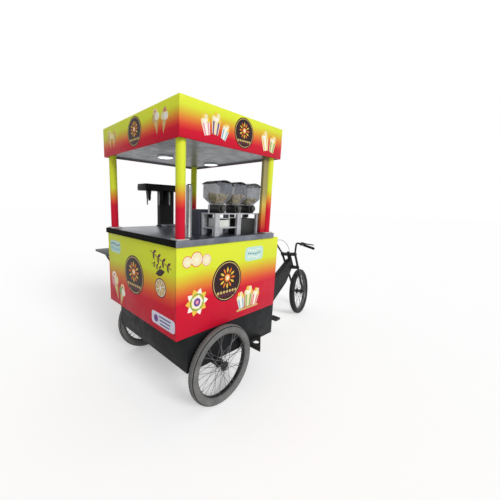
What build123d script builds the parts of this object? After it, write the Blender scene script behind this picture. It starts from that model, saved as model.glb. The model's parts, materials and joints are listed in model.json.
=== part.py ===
"""Bicycle food cart: a three-wheeled street stall with a wrapped cabinet, a canopy and counter equipment.

All sizes are in millimetres. The origin lies on the ground midway between the two rear wheels,
+X points forward to the steered wheel, +Y to the cart's left and +Z up.
"""

from build123d import *
from math import atan2, cos, pi, radians, sin, sqrt, tan
import os

os.makedirs("parts", exist_ok=True)

# Running clearances and seats
FIT = 0.05
SEAT = 0.3

# Wheels
WHEEL_RADIUS = 303
TYRE_WIDTH = 52
TYRE_DEPTH = 43
TYRE_TREAD_WIDTH = 24
TYRE_BEAD_WIDTH = 30
RIM_WIDTH = 34
RIM_INNER_WIDTH = 18
RIM_DEPTH = 18
SPOKE_COUNT = 36
SPOKE_RADIUS = 1.3
SPOKE_LACING = 55
SPOKE_STAGGER = 3.5
SPOKE_RIM_OFFSET = 4.5
SPOKE_END_GAP = 0.5
HUB_FLANGE_RADIUS = 38
HUB_FLANGE_THICKNESS = 4
HUB_FLANGE_SPACING = 56
HUB_BARREL_RADIUS = 26
HUB_LENGTH = 84

# Rear axle and its housing
SKIRT_TO_TYRE = 15
AXLE_RADIUS = 12.5
AXLE_NUT_RADIUS = 17
AXLE_NUT_LENGTH = 16
HOUSING_RADIUS = 30
HOUSING_LENGTH = 385
HOUSING_GAP_TO_HUB = 6
HANGER_LENGTH = 60
HANGER_THICKNESS = 10
HANGER_PAD_LENGTH = 90
HANGER_PAD_WIDTH = 28
HANGER_PAD_LIFT = 22
HANGER_PAD_HEIGHT = 12

# Drive
CHAIN_PITCH = 12.7
CRANK_TEETH = 44
AXLE_TEETH = 22
SPROCKET_THICKNESS = 4
SPROCKET_TOOTH_HEIGHT = 3.2
CHAIN_LINE = 45
CHAIN_PLATE_THICKNESS = 1.4
CHAIN_PLATE_HEIGHT = 9
CHAIN_PIN_STEP = 9
CHAIN_PIN_RADIUS = 2.2
CRANK_X = 1147
CRANK_Z = 300
CRANK_LENGTH = 165
CRANK_ANGLE = -47
CRANK_ARM_WIDTH = 24
CRANK_ARM_THICKNESS = 14
CRANK_ARM_OFFSET = 100
CHAINRING_RIM = 16
CHAINRING_BOSS_RADIUS = 22
SPIDER_ARM_WIDTH = 15
SPIDER_ARM_COUNT = 5
SPINDLE_RADIUS = 9
PEDAL_LENGTH = 96
PEDAL_WIDTH = 84
PEDAL_THICKNESS = 24
PEDAL_PIN_RADIUS = 6
PEDAL_BARREL_RADIUS = 11
PEDAL_BLOCK_WIDTH = 22
PEDAL_END_PLATE = 3
PEDAL_GAP_TO_ARM = 4

# Cabinet
BOX_REAR = -383
BOX_LENGTH = 1055
BOX_WIDTH = 1000
BOX_BOTTOM = 595
BOX_TOP = 1195
PANEL = 15
FLOOR_THICKNESS = 15

# Lower skirt and ladder frame
SKIRT_SETBACK = 94
SKIRT_BOTTOM = 330
SKIRT_WALL = 3
SKIRT_FLANGE = 24
SKIRT_NOTCH = 120
SKIRT_NOTCH_GAP = 6
RAIL_SIZE = 40
RAIL_INSET = 170
REAR_MEMBER_INSET = 158
MIDDLE_MEMBER_INSET = 342
FRONT_MEMBER_INSET = 47
SPINE_POST_SIZE = 30

# Counter
COUNTER_THICKNESS = 40
COUNTER_OVERHANG = 10
FRONT_LEDGE = 80
COUNTER_SHEET = 3

# Canopy and posts
CANOPY_NOSE = 5
CANOPY_OVERHANG = 20
CANOPY_CLEARANCE = 577
CANOPY_HEIGHT = 218
FASCIA_THICKNESS = 12
CEILING_LIFT = 14
SHEET = 3
POST_RADIUS = 30
POST_REAR_INSET = 50
POST_FRONT_INSET = 65
POST_SIDE_INSET = 32
FLANGE_LENGTH = 92
FLANGE_WIDTH = 78
FLANGE_INSET = 5
FLANGE_THICKNESS = 8
LAMP_RADIUS = 70
LAMP_THICKNESS = 12
LAMP_REAR_INSET = 361
LAMP_FRONT_INSET = 110
LAMP_LEFT_OFFSETS = (160, 165)
TRUNKING_WIDTH = 55
TRUNKING_DEPTH = 24

# Side shelf on the left
SHELF_REACH = 355
SHELF_THICKNESS = 20
SHELF_TOP = 998
SHELF_LENGTH = 760
SHELF_BRACKET_THICKNESS = 5
SHELF_BRACKET_DROP = 160
SHELF_BRACKET_REACH = 300
SHELF_BRACKET_INSET = 60
SHELF_BRACKET_RIM = 24
SHELF_BRACKET_TIP = 16
SHELF_BRACKET_FLANGE = 30
SHELF_BRACKET_SHEET = 4

# Storage door in the left panel
DOOR_X0 = -150
DOOR_LENGTH = 560
DOOR_Z0 = 640
DOOR_HEIGHT = 150
DOOR_GAP = 2
DOOR_FINGER_RADIUS = 18
HINGE_PIN_RADIUS = 3
HINGE_KNUCKLE_RADIUS = 6
HINGE_STAND_OFF = 6.3
HINGE_LEAF = 2

# Side steps
STEP_X0 = 325
STEP_LENGTH = 190
STEP_REACH = 140
STEP_DEPTH = 28
STEP_WALL = 5
STEP_TOP = 352

# Cycle frame
BEAM_WIDTH = 60
BEAM_WALL = 3
SPINE_BOTTOM = 430
SPINE_TOP = 492
BOTTOM_BRACKET_RADIUS = 22
SEAT_TUBE_RADIUS = 17.5
SEAT_TUBE_TOP = 690
SEAT_POST_RADIUS = 13.6
SEAT_TUBE_BACK = 68
SEAT_TUBE_RAKE = 40
SEAT_TUBE_SOLID = 60
SEAT_POST_SUNK = 70
SEAT_CLAMP_LENGTH = 68
SEAT_CLAMP_WIDTH = 44
SEAT_CLAMP_HEIGHT = 14
SADDLE_HEIGHT = 52
SADDLE_TOP = 880
SADDLE_LENGTH = 270
SADDLE_WIDTH = 190

# Steering
WHEELBASE = 2067
HEAD_ANGLE = 30
FORK_OFFSET = 28
STEER_AT_REST = 12
HEAD_TUBE_RADIUS = 24
STEERER_RADIUS = 14
LOWER_CROWN = 440
UPPER_CROWN = 650
CROWN_THICKNESS = 20
CROWN_DEPTH = 46
CROWN_HALF_WIDTH = 100
FORK_LEG_RADIUS = 14
FORK_LEG_TOP_SPREAD = 82
FORK_LEG_TIP_SPREAD = 60
FRONT_HUB_LENGTH = 96
FRONT_AXLE_RADIUS = 6
BAR_RADIUS = 11.1
BAR_RISER_FOOT = (0, 84, 676)
BAR_RISER_TOP = (0, 132, 838)
BAR_END = (-44, 338, 782)
BAR_BEND_RADIUS = 34
GRIP_RADIUS = 16
GRIP_LENGTH = 125
LEVER_LENGTH = 125
LEVER_THICKNESS = 8
LEVER_CHEEK = 4
LEVER_PIN_RADIUS = 3
CABLE_RADIUS = 2.5
CABLE_STOP = 16
CABLE_BARREL_RADIUS = 4.5
CABLE_BARREL_LENGTH = 16

# Drinks dispenser on the counter
COLUMN_X0 = 97
COLUMN_LENGTH = 160
COLUMN_INSET = 23
COLUMN_DEPTH = 55
COLUMN_CORNER = 8
COLUMN_FOOT_REACH = 8
COLUMN_FOOT_DEPTH = 12
COLUMN_FOOT_HEIGHT = 10
HEAD_FRONT_OVERHANG = 20
HEAD_LENGTH = 384
HEAD_DEPTH = 157
HEAD_CLEARANCE = 325
HEAD_HEIGHT = 58
HEAD_CHAMFER = 10
NOZZLE_COUNT = 3
NOZZLE_END_INSET = 51
NOZZLE_PITCH = 118
NOZZLE_SIDE_INSET = 32
NOZZLE_RADIUS = 17
NOZZLE_LENGTH = 88
NOZZLE_TIP_RADIUS = 13
NOZZLE_COLLAR = 34
TAP_LEVER_SIDE_INSET = 70
TAP_LEVER_LENGTH = 125
TAP_LEVER_THICKNESS = 4
TRAY_LENGTH = 156
TRAY_DEPTH = 96
TRAY_HEIGHT = 18
TRAY_WALL = 3

# Straw tube and warmer
STRAW_TUBE_REAR_INSET = 160
STRAW_TUBE_SIDE_INSET = 87
STRAW_TUBE_RADIUS = 20
STRAW_TUBE_HEIGHT = 340
STRAW_TUBE_WALL = 1.5
STRAW_TUBE_FOOT = 4
STRAW_TUBE_DOME = 12
WARMER_X0 = -33
WARMER_LENGTH = 140
WARMER_GAP = 8
WARMER_DEPTH = 90
WARMER_HEIGHT = 175
WARMER_WALL = 2
WARMER_LID_REACH = 3
WARMER_LID_HEIGHT = 6

# Hopper rack
HOPPER_PITCH = 164
HOPPER_FIRST_X = 64
HOPPER_COUNT = 3
HOPPER_WIDTH = 156
HOPPER_DEPTH = 150
HOPPER_WALL = 3
HOPPER_MOUTH = 88
HOPPER_LIFT = 25
HOPPER_FUNNEL = 48
HOPPER_STRAIGHT = 90
RACK_INSET = 64
RACK_LEG_WIDTH = 42
RACK_LEG_DEPTH = 22
RACK_HEIGHT = 158
RACK_SHELF_THICKNESS = 8
RACK_LOW_SHELF_HEIGHT = 58
RACK_SHELF_DEPTH = 150
RACK_UPRIGHT_WIDTH = 12
RACK_UPRIGHT_DEPTH = 10
VALVE_RADIUS = 34
VALVE_LENGTH = 110
VALVE_NECK_INSET = 6
VALVE_NECK_DROP = 10
SPOUT_RADIUS = 20
SPOUT_LENGTH = 34
KNOB_RADIUS = 20
KNOB_LENGTH = 16
KNOB_SIDES = 10
KNOB_SHAFT_RADIUS = 5
KNOB_SHAFT_DEPTH = 22
KNOB_STAND_OFF = 4
CROWN_RISE = 24
COVER_THICKNESS = 4
NAPKIN_X0 = 28
NAPKIN_LENGTH = 110
NAPKIN_HEIGHT = 64
NAPKIN_DEPTH = 110
NAPKIN_WALL = 2
SIDE_BOX_LENGTH = 174
SIDE_BOX_DEPTH = 120
SIDE_BOX_HEIGHT = 118

# Places that follow from the sizes above
BOX_FRONT = BOX_REAR + BOX_LENGTH
BOX_SIDE = BOX_WIDTH / 2
RAIL_HALF_SPACING = BOX_SIDE - RAIL_INSET
CROSS_MEMBER_STATIONS = (
    BOX_REAR + REAR_MEMBER_INSET, 0, BOX_FRONT - MIDDLE_MEMBER_INSET, BOX_FRONT - FRONT_MEMBER_INSET,
)
COUNTER_TOP = BOX_TOP + COUNTER_THICKNESS
COUNTER_REAR = BOX_REAR - COUNTER_OVERHANG
COUNTER_FRONT = BOX_FRONT - FRONT_LEDGE
COUNTER_SIDE = BOX_SIDE + COUNTER_OVERHANG
CANOPY_REAR = BOX_REAR
CANOPY_FRONT = COUNTER_FRONT + CANOPY_NOSE
CANOPY_SIDE = BOX_SIDE + CANOPY_OVERHANG
CANOPY_BOTTOM = COUNTER_TOP + CANOPY_CLEARANCE
CANOPY_TOP = CANOPY_BOTTOM + CANOPY_HEIGHT
CEILING_Z = CANOPY_BOTTOM + CEILING_LIFT
LAMP_PLACES = (
    (CANOPY_REAR + LAMP_REAR_INSET, LAMP_LEFT_OFFSETS[0]),
    (CANOPY_FRONT - LAMP_FRONT_INSET, LAMP_LEFT_OFFSETS[1]),
)
COLUMN_Y0 = COUNTER_SIDE - COLUMN_INSET - COLUMN_DEPTH
HEAD_X0 = COLUMN_X0 + COLUMN_LENGTH + HEAD_FRONT_OVERHANG - HEAD_LENGTH
HEAD_Y0 = COLUMN_Y0 + COLUMN_DEPTH - HEAD_DEPTH
HEAD_BOTTOM = COUNTER_TOP + HEAD_CLEARANCE
NOZZLE_FIRST_X = HEAD_X0 + NOZZLE_END_INSET
NOZZLE_Y = HEAD_Y0 + NOZZLE_SIDE_INSET
TAP_LEVER_Y = HEAD_Y0 + TAP_LEVER_SIDE_INSET
STRAW_TUBE_X = COUNTER_REAR + STRAW_TUBE_REAR_INSET
STRAW_TUBE_Y = -COUNTER_SIDE + STRAW_TUBE_SIDE_INSET
RACK_Y0 = -COUNTER_SIDE + RACK_INSET
RACK_Y1 = RACK_Y0 + RACK_SHELF_DEPTH
RACK_Y = (RACK_Y0 + RACK_Y1) / 2
RACK_SHELF_TOP = COUNTER_TOP + RACK_HEIGHT
RACK_LOW_SHELF_TOP = COUNTER_TOP + RACK_LOW_SHELF_HEIGHT
VALVE_Z = RACK_SHELF_TOP + VALVE_RADIUS
HOPPER_BASE = VALVE_Z + HOPPER_LIFT
HOPPER_SHOULDER = HOPPER_BASE + HOPPER_FUNNEL
HOPPER_TOP = HOPPER_SHOULDER + HOPPER_STRAIGHT
WARMER_Y0 = RACK_Y1 + WARMER_GAP
RIM_OUTER = WHEEL_RADIUS - TYRE_DEPTH
RIM_INNER = RIM_OUTER - RIM_DEPTH
HALF_TRACK = BOX_SIDE + SKIRT_TO_TYRE + TYRE_WIDTH / 2
CRANK_PITCH_RADIUS = CHAIN_PITCH / (2 * sin(pi / CRANK_TEETH))
AXLE_PITCH_RADIUS = CHAIN_PITCH / (2 * sin(pi / AXLE_TEETH))


def block(x0, x1, y0, y1, z0, z1, mode=Mode.ADD):
    """Adds or cuts a block given by its limits."""
    with BuildSketch(Plane.XY.offset(z0)) as footprint:
        with Locations(((x0 + x1) / 2, (y0 + y1) / 2)):
            Rectangle(x1 - x0, y1 - y0)
    extrude(footprint.sketch, amount=z1 - z0, mode=mode)


def rod(start, end, radius, mode=Mode.ADD):
    """Adds or cuts a round bar between two points."""
    run = Vector(end) - Vector(start)
    with BuildSketch(Plane(origin=start, z_dir=run)) as disc:
        Circle(radius)
    extrude(disc.sketch, amount=run.length, mode=mode)


def side_plate(points, y0, y1, mode=Mode.ADD):
    """Adds or cuts a plate whose outline is given in X and Z."""
    with BuildSketch(Plane(origin=(0, y0, 0), x_dir=(1, 0, 0), z_dir=(0, -1, 0))) as outline:
        with BuildLine():
            Polyline(*points, close=True)
        make_face()
    extrude(outline.sketch, amount=y0 - y1, mode=mode)


def section_plane(centre, axle, radial):
    """Gives a plane whose X runs out from the axle and whose Y runs along it."""
    radial = Vector(radial).normalized()
    return Plane(origin=centre, x_dir=radial, z_dir=radial.cross(Vector(axle)))


def ring(centre, axle, radial, outline):
    """Revolves a section, given as radius and offset along the axle, about the axle."""
    with BuildSketch(section_plane(centre, axle, radial)) as section:
        with BuildLine():
            Polyline(*outline, close=True)
        make_face()
    revolve(section.sketch, axis=Axis(centre, tuple(Vector(axle))))


def mirrored(half):
    """Completes a section that is the same on both sides of the wheel's centre plane."""
    return half + [(r, -w) for r, w in reversed(half)]


def tyre_outline():
    return mirrored([
        (RIM_OUTER, TYRE_BEAD_WIDTH / 2),
        (WHEEL_RADIUS - 0.45 * TYRE_DEPTH, TYRE_WIDTH / 2),
        (WHEEL_RADIUS, TYRE_TREAD_WIDTH / 2),
    ])


def rim_outline():
    return mirrored([
        (RIM_INNER, RIM_INNER_WIDTH / 2),
        (RIM_OUTER, RIM_WIDTH / 2),
    ])


def spoke_planes(centre, axle, radial):
    """Gives the plane at the hub end of each spoke, square to it."""
    frame = section_plane(centre, axle, radial)
    out = frame.x_dir
    along = frame.y_dir
    around = along.cross(out)
    hub_radius = HUB_FLANGE_RADIUS + SPOKE_RADIUS + SEAT
    rim_radius = RIM_INNER - SPOKE_END_GAP
    per_side = SPOKE_COUNT // 2
    planes = []
    for k in range(SPOKE_COUNT):
        side = 1 if k % 2 else -1
        pair = (k // 2) % 2
        lean = SPOKE_LACING if pair else -SPOKE_LACING
        hub_angle = radians(360 / per_side * (k // 2) + (180 / per_side if side > 0 else 0))
        rim_angle = hub_angle + radians(lean)
        stagger = SPOKE_STAGGER if pair else -SPOKE_STAGGER
        foot = (
            out * (hub_radius * cos(hub_angle))
            + around * (hub_radius * sin(hub_angle))
            + along * (side * (HUB_FLANGE_SPACING / 2) + stagger / 2)
        )
        head = (
            out * (rim_radius * cos(rim_angle))
            + around * (rim_radius * sin(rim_angle))
            + along * (side * SPOKE_RIM_OFFSET + stagger / 2)
        )
        planes.append(Plane(origin=Vector(centre) + foot, z_dir=head - foot))
    length = (head - foot).length
    return planes, length


def wheel_spokes(centre, axle, radial):
    """Adds the laced spokes of one wheel as separate bars."""
    planes, length = spoke_planes(centre, axle, radial)
    with BuildSketch(*planes) as feet:
        RegularPolygon(SPOKE_RADIUS, 3)
    extrude(feet.sketch, amount=length)


def hub_outline(bore, length):
    """Half section of a spool hub with two spoke flanges."""
    flange = HUB_FLANGE_SPACING / 2 + HUB_FLANGE_THICKNESS / 2
    return [
        (bore, -length / 2),
        (HUB_BARREL_RADIUS, -length / 2),
        (HUB_BARREL_RADIUS, -flange),
        (HUB_FLANGE_RADIUS, -flange),
        (HUB_FLANGE_RADIUS, -flange + HUB_FLANGE_THICKNESS),
        (HUB_BARREL_RADIUS, -flange + HUB_FLANGE_THICKNESS),
        (HUB_BARREL_RADIUS, flange - HUB_FLANGE_THICKNESS),
        (HUB_FLANGE_RADIUS, flange - HUB_FLANGE_THICKNESS),
        (HUB_FLANGE_RADIUS, flange),
        (HUB_BARREL_RADIUS, flange),
        (HUB_BARREL_RADIUS, length / 2),
        (bore, length / 2),
    ]


REAR_CENTRES = ((0, HALF_TRACK, WHEEL_RADIUS), (0, -HALF_TRACK, WHEEL_RADIUS))
REAR_AXLE_DIRECTION = (0, 1, 0)
UP = (0, 0, 1)

# Rear wheels, both fixed to the live axle
with BuildPart() as rear_tyres:
    for centre in REAR_CENTRES:
        ring(centre, REAR_AXLE_DIRECTION, UP, tyre_outline())
rear_tyres.part.label = "rear_tyres"
export_step(rear_tyres.part, "parts/rear_tyres.step")

with BuildPart() as rear_rims:
    for centre in REAR_CENTRES:
        ring(centre, REAR_AXLE_DIRECTION, UP, rim_outline())
rear_rims.part.label = "rear_rims"
export_step(rear_rims.part, "parts/rear_rims.step")

with BuildPart() as rear_spokes:
    for centre in REAR_CENTRES:
        wheel_spokes(centre, REAR_AXLE_DIRECTION, UP)
rear_spokes.part.label = "rear_spokes"
export_step(rear_spokes.part, "parts/rear_spokes.step")

with BuildPart() as rear_hubs:
    for centre in REAR_CENTRES:
        ring(centre, REAR_AXLE_DIRECTION, UP, hub_outline(AXLE_RADIUS + FIT, HUB_LENGTH))
rear_hubs.part.label = "rear_hubs"
export_step(rear_hubs.part, "parts/rear_hubs.step")


def sprocket_sketch(teeth, pitch_radius):
    """Draws a toothed disc: one flat root and one pointed tooth for each link."""
    points = []
    for k in range(teeth):
        angle = 2 * pi * k / teeth
        half = pi / teeth
        root = pitch_radius - SPROCKET_TOOTH_HEIGHT
        tip = pitch_radius + SPROCKET_TOOTH_HEIGHT
        points.append((root * cos(angle), root * sin(angle)))
        points.append((tip * cos(angle + half), tip * sin(angle + half)))
    with BuildLine() as outline:
        Polyline(*points, close=True)
    make_face(outline.edges())


# Shaft ends reach past the hubs and take the wheel nuts
AXLE_HALF_LENGTH = HALF_TRACK + HUB_LENGTH / 2
with BuildPart() as rear_axle:
    rod((0, -AXLE_HALF_LENGTH, WHEEL_RADIUS), (0, AXLE_HALF_LENGTH, WHEEL_RADIUS), AXLE_RADIUS)
    for side in (-1, 1):
        nut_start = (0, side * AXLE_HALF_LENGTH, WHEEL_RADIUS)
        with BuildSketch(Plane(origin=nut_start, x_dir=(1, 0, 0), z_dir=(0, side, 0))):
            RegularPolygon(AXLE_NUT_RADIUS, 6)
        extrude(amount=AXLE_NUT_LENGTH)
    sprocket_face = (0, -CHAIN_LINE + SPROCKET_THICKNESS / 2, WHEEL_RADIUS)
    with BuildSketch(Plane(origin=sprocket_face, x_dir=(1, 0, 0), z_dir=(0, -1, 0))):
        sprocket_sketch(AXLE_TEETH, AXLE_PITCH_RADIUS)
    extrude(amount=SPROCKET_THICKNESS)
rear_axle.part.label = "rear_axle"
export_step(rear_axle.part, "parts/rear_axle.step")

# Two housing tubes carry the live axle, with the sprocket running between them
HOUSING_OUTER = HALF_TRACK - HUB_LENGTH / 2 - HOUSING_GAP_TO_HUB
with BuildPart() as axle_housing:
    for side in (-1, 1):
        outer = (0, side * HOUSING_OUTER, WHEEL_RADIUS)
        inner = (0, side * (HOUSING_OUTER - HOUSING_LENGTH), WHEEL_RADIUS)
        rod(outer, inner, HOUSING_RADIUS)
        rail = side * RAIL_HALF_SPACING
        block(
            -HANGER_LENGTH / 2, HANGER_LENGTH / 2, rail - HANGER_THICKNESS / 2, rail + HANGER_THICKNESS / 2,
            WHEEL_RADIUS, BOX_BOTTOM - RAIL_SIZE,
        )
        block(
            -HANGER_PAD_LENGTH / 2, HANGER_PAD_LENGTH / 2,
            rail - HANGER_PAD_WIDTH / 2, rail + HANGER_PAD_WIDTH / 2,
            WHEEL_RADIUS + HANGER_PAD_LIFT, WHEEL_RADIUS + HANGER_PAD_LIFT + HANGER_PAD_HEIGHT,
        )
    rod((0, -HALF_TRACK, WHEEL_RADIUS), (0, HALF_TRACK, WHEEL_RADIUS), AXLE_RADIUS + FIT, Mode.SUBTRACT)
axle_housing.part.label = "axle_housing"
export_step(axle_housing.part, "parts/axle_housing.step")

# Ladder frame under the cabinet floor, on three posts that stand on the spine
FRAME_X0 = BOX_REAR + SKIRT_SETBACK + SKIRT_WALL + SEAT
FRAME_X1 = BOX_FRONT - SKIRT_WALL - SEAT
FRAME_Z0 = BOX_BOTTOM - RAIL_SIZE
with BuildPart() as chassis_frame:
    for side in (-1, 1):
        rail = side * RAIL_HALF_SPACING
        block(FRAME_X0, FRAME_X1, rail - RAIL_SIZE / 2, rail + RAIL_SIZE / 2, FRAME_Z0, BOX_BOTTOM)
    for station in CROSS_MEMBER_STATIONS:
        half = RAIL_SIZE / 2
        reach = BOX_SIDE - SKIRT_WALL - SEAT
        block(station - half, station + half, -reach, reach, FRAME_Z0, BOX_BOTTOM)
    for station in (CROSS_MEMBER_STATIONS[0], CROSS_MEMBER_STATIONS[2], CROSS_MEMBER_STATIONS[3]):
        block(
            station - SPINE_POST_SIZE / 2, station + SPINE_POST_SIZE / 2,
            -SPINE_POST_SIZE / 2, SPINE_POST_SIZE / 2,
            SPINE_TOP, FRAME_Z0 - SEAT,
        )
chassis_frame.part.label = "chassis_frame"
export_step(chassis_frame.part, "parts/chassis_frame.step")

# Black sheet skirt with a flange turned in along its bottom edge
SKIRT_X0 = BOX_REAR + SKIRT_SETBACK
with BuildPart() as lower_skirt:
    block(SKIRT_X0, BOX_FRONT, -BOX_SIDE, BOX_SIDE, SKIRT_BOTTOM, BOX_BOTTOM - SEAT)
    block(
        SKIRT_X0 + SKIRT_WALL, BOX_FRONT - SKIRT_WALL, -BOX_SIDE + SKIRT_WALL, BOX_SIDE - SKIRT_WALL,
        SKIRT_BOTTOM + SKIRT_WALL, BOX_BOTTOM, Mode.SUBTRACT,
    )
    block(
        SKIRT_X0 + SKIRT_FLANGE, BOX_FRONT - SKIRT_FLANGE, -BOX_SIDE + SKIRT_FLANGE, BOX_SIDE - SKIRT_FLANGE,
        SKIRT_BOTTOM, SKIRT_BOTTOM + SKIRT_WALL, Mode.SUBTRACT,
    )
    block(
        BOX_FRONT - SKIRT_FLANGE, BOX_FRONT, -SKIRT_NOTCH / 2, SKIRT_NOTCH / 2,
        SKIRT_BOTTOM, SPINE_TOP + SKIRT_NOTCH_GAP, Mode.SUBTRACT,
    )
    for side in (-1, 1):
        rod(
            (0, side * (BOX_SIDE - SKIRT_FLANGE), WHEEL_RADIUS), (0, side * BOX_SIDE, WHEEL_RADIUS),
            HOUSING_RADIUS + SKIRT_NOTCH_GAP, Mode.SUBTRACT,
        )
lower_skirt.part.label = "lower_skirt"
export_step(lower_skirt.part, "parts/lower_skirt.step")

with BuildPart() as side_steps:
    for side in (-1, 1):
        inner = side * (BOX_SIDE + SEAT)
        outer = inner + side * STEP_REACH
        corners = [(STEP_X0, inner), (STEP_X0 + STEP_LENGTH, inner), (STEP_X0, outer)]
        with BuildSketch(Plane.XY.offset(STEP_TOP)):
            with BuildLine():
                Polyline(*corners, close=True)
            make_face()
        extrude(amount=-STEP_DEPTH)
        with BuildSketch(Plane.XY.offset(STEP_TOP - STEP_WALL)):
            with BuildLine():
                Polyline(*corners, close=True)
            make_face()
            offset(amount=-STEP_WALL, kind=Kind.INTERSECTION, mode=Mode.REPLACE)
        extrude(amount=-STEP_DEPTH, mode=Mode.SUBTRACT)
        with BuildSketch(Plane.XY.offset(STEP_TOP)):
            with Locations((STEP_X0 + STEP_LENGTH / 3, inner + side * STEP_REACH / 3)):
                Circle(STEP_REACH / 5.5)
        extrude(amount=-STEP_DEPTH, mode=Mode.SUBTRACT)
side_steps.part.label = "side_steps"
export_step(side_steps.part, "parts/side_steps.step")

# Cabinet: a floor and four wrapped panels, stepped down ahead of the counter
with BuildPart() as cabinet_floor:
    block(
        BOX_REAR + PANEL, BOX_FRONT - PANEL, -BOX_SIDE + PANEL, BOX_SIDE - PANEL,
        BOX_BOTTOM, BOX_BOTTOM + FLOOR_THICKNESS,
    )
cabinet_floor.part.label = "cabinet_floor"
export_step(cabinet_floor.part, "parts/cabinet_floor.step")

PANEL_HIGH = COUNTER_TOP - COUNTER_SHEET
PANEL_STEP_X = COUNTER_FRONT - COUNTER_SHEET - SEAT
SIDE_OUTLINE = [
    (BOX_REAR, BOX_BOTTOM),
    (BOX_FRONT, BOX_BOTTOM),
    (BOX_FRONT, BOX_TOP),
    (PANEL_STEP_X, BOX_TOP),
    (PANEL_STEP_X, PANEL_HIGH),
    (BOX_REAR, PANEL_HIGH),
]
with BuildPart() as panel_right:
    side_plate(SIDE_OUTLINE, -BOX_SIDE, -BOX_SIDE + PANEL)
panel_right.part.label = "panel_right"
export_step(panel_right.part, "parts/panel_right.step")

DOOR_X1 = DOOR_X0 + DOOR_LENGTH
DOOR_Z1 = DOOR_Z0 + DOOR_HEIGHT
HINGE_X = DOOR_X1 + DOOR_GAP / 2
HINGE_Y = BOX_SIDE + HINGE_STAND_OFF
KNUCKLE_LENGTH = DOOR_HEIGHT / 5
HINGE_MIDDLE_Z = (DOOR_Z0 + DOOR_Z1) / 2
with BuildPart() as panel_left:
    side_plate(SIDE_OUTLINE, BOX_SIDE - PANEL, BOX_SIDE)
    block(
        DOOR_X0 - DOOR_GAP, DOOR_X1 + DOOR_GAP, BOX_SIDE - PANEL, BOX_SIDE,
        DOOR_Z0 - DOOR_GAP, DOOR_Z1 + DOOR_GAP, Mode.SUBTRACT,
    )
    for side in (-1, 1):
        z0 = HINGE_MIDDLE_Z + side * KNUCKLE_LENGTH - KNUCKLE_LENGTH / 2 + (side > 0) * SEAT
        z1 = z0 + KNUCKLE_LENGTH - SEAT
        rod((HINGE_X, HINGE_Y, z0), (HINGE_X, HINGE_Y, z1), HINGE_KNUCKLE_RADIUS)
        block(HINGE_X, HINGE_X + 26, BOX_SIDE, BOX_SIDE + HINGE_LEAF, z0, z1)
    rod(
        (HINGE_X, HINGE_Y, HINGE_MIDDLE_Z - KNUCKLE_LENGTH),
        (HINGE_X, HINGE_Y, HINGE_MIDDLE_Z + KNUCKLE_LENGTH),
        HINGE_PIN_RADIUS,
    )
panel_left.part.label = "panel_left"
export_step(panel_left.part, "parts/panel_left.step")

with BuildPart() as storage_door:
    block(DOOR_X0, DOOR_X1, BOX_SIDE - PANEL, BOX_SIDE, DOOR_Z0, DOOR_Z1)
    block(
        DOOR_X1 - 26, HINGE_X, BOX_SIDE, BOX_SIDE + HINGE_LEAF,
        HINGE_MIDDLE_Z - KNUCKLE_LENGTH / 2 + SEAT, HINGE_MIDDLE_Z + KNUCKLE_LENGTH / 2 - SEAT,
    )
    knuckle_low = (HINGE_X, HINGE_Y, HINGE_MIDDLE_Z - KNUCKLE_LENGTH / 2 + SEAT)
    knuckle_high = (HINGE_X, HINGE_Y, HINGE_MIDDLE_Z + KNUCKLE_LENGTH / 2 - SEAT)
    rod(knuckle_low, knuckle_high, HINGE_KNUCKLE_RADIUS)
    rod(knuckle_low, knuckle_high, HINGE_PIN_RADIUS + FIT, Mode.SUBTRACT)
    finger_x = DOOR_X0 + 2.5 * DOOR_FINGER_RADIUS
    rod(
        (finger_x, BOX_SIDE - PANEL, HINGE_MIDDLE_Z), (finger_x, BOX_SIDE, HINGE_MIDDLE_Z),
        DOOR_FINGER_RADIUS, Mode.SUBTRACT,
    )
storage_door.part.label = "storage_door"
export_step(storage_door.part, "parts/storage_door.step")

with BuildPart() as panel_rear:
    block(BOX_REAR, BOX_REAR + PANEL, -BOX_SIDE + PANEL, BOX_SIDE - PANEL, BOX_BOTTOM, PANEL_HIGH)
panel_rear.part.label = "panel_rear"
export_step(panel_rear.part, "parts/panel_rear.step")

with BuildPart() as panel_front:
    block(BOX_FRONT - PANEL, BOX_FRONT, -BOX_SIDE + PANEL, BOX_SIDE - PANEL, BOX_BOTTOM, BOX_TOP)
    block(
        PANEL_STEP_X - PANEL, BOX_FRONT - PANEL, -BOX_SIDE + PANEL, BOX_SIDE - PANEL,
        BOX_TOP - PANEL, BOX_TOP,
    )
    block(
        PANEL_STEP_X - PANEL, PANEL_STEP_X, -BOX_SIDE + PANEL, BOX_SIDE - PANEL,
        BOX_TOP, PANEL_HIGH,
    )
panel_front.part.label = "panel_front"
export_step(panel_front.part, "parts/panel_front.step")

# Steel counter: a sheet folded down over the panels on all four sides
with BuildPart() as counter_top:
    block(COUNTER_REAR, COUNTER_FRONT, -COUNTER_SIDE, COUNTER_SIDE, BOX_TOP, COUNTER_TOP)
    block(
        COUNTER_REAR + COUNTER_SHEET, COUNTER_FRONT - COUNTER_SHEET,
        -COUNTER_SIDE + COUNTER_SHEET, COUNTER_SIDE - COUNTER_SHEET,
        BOX_TOP, COUNTER_TOP - COUNTER_SHEET, Mode.SUBTRACT,
    )
counter_top.part.label = "counter_top"
export_step(counter_top.part, "parts/counter_top.step")

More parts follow.
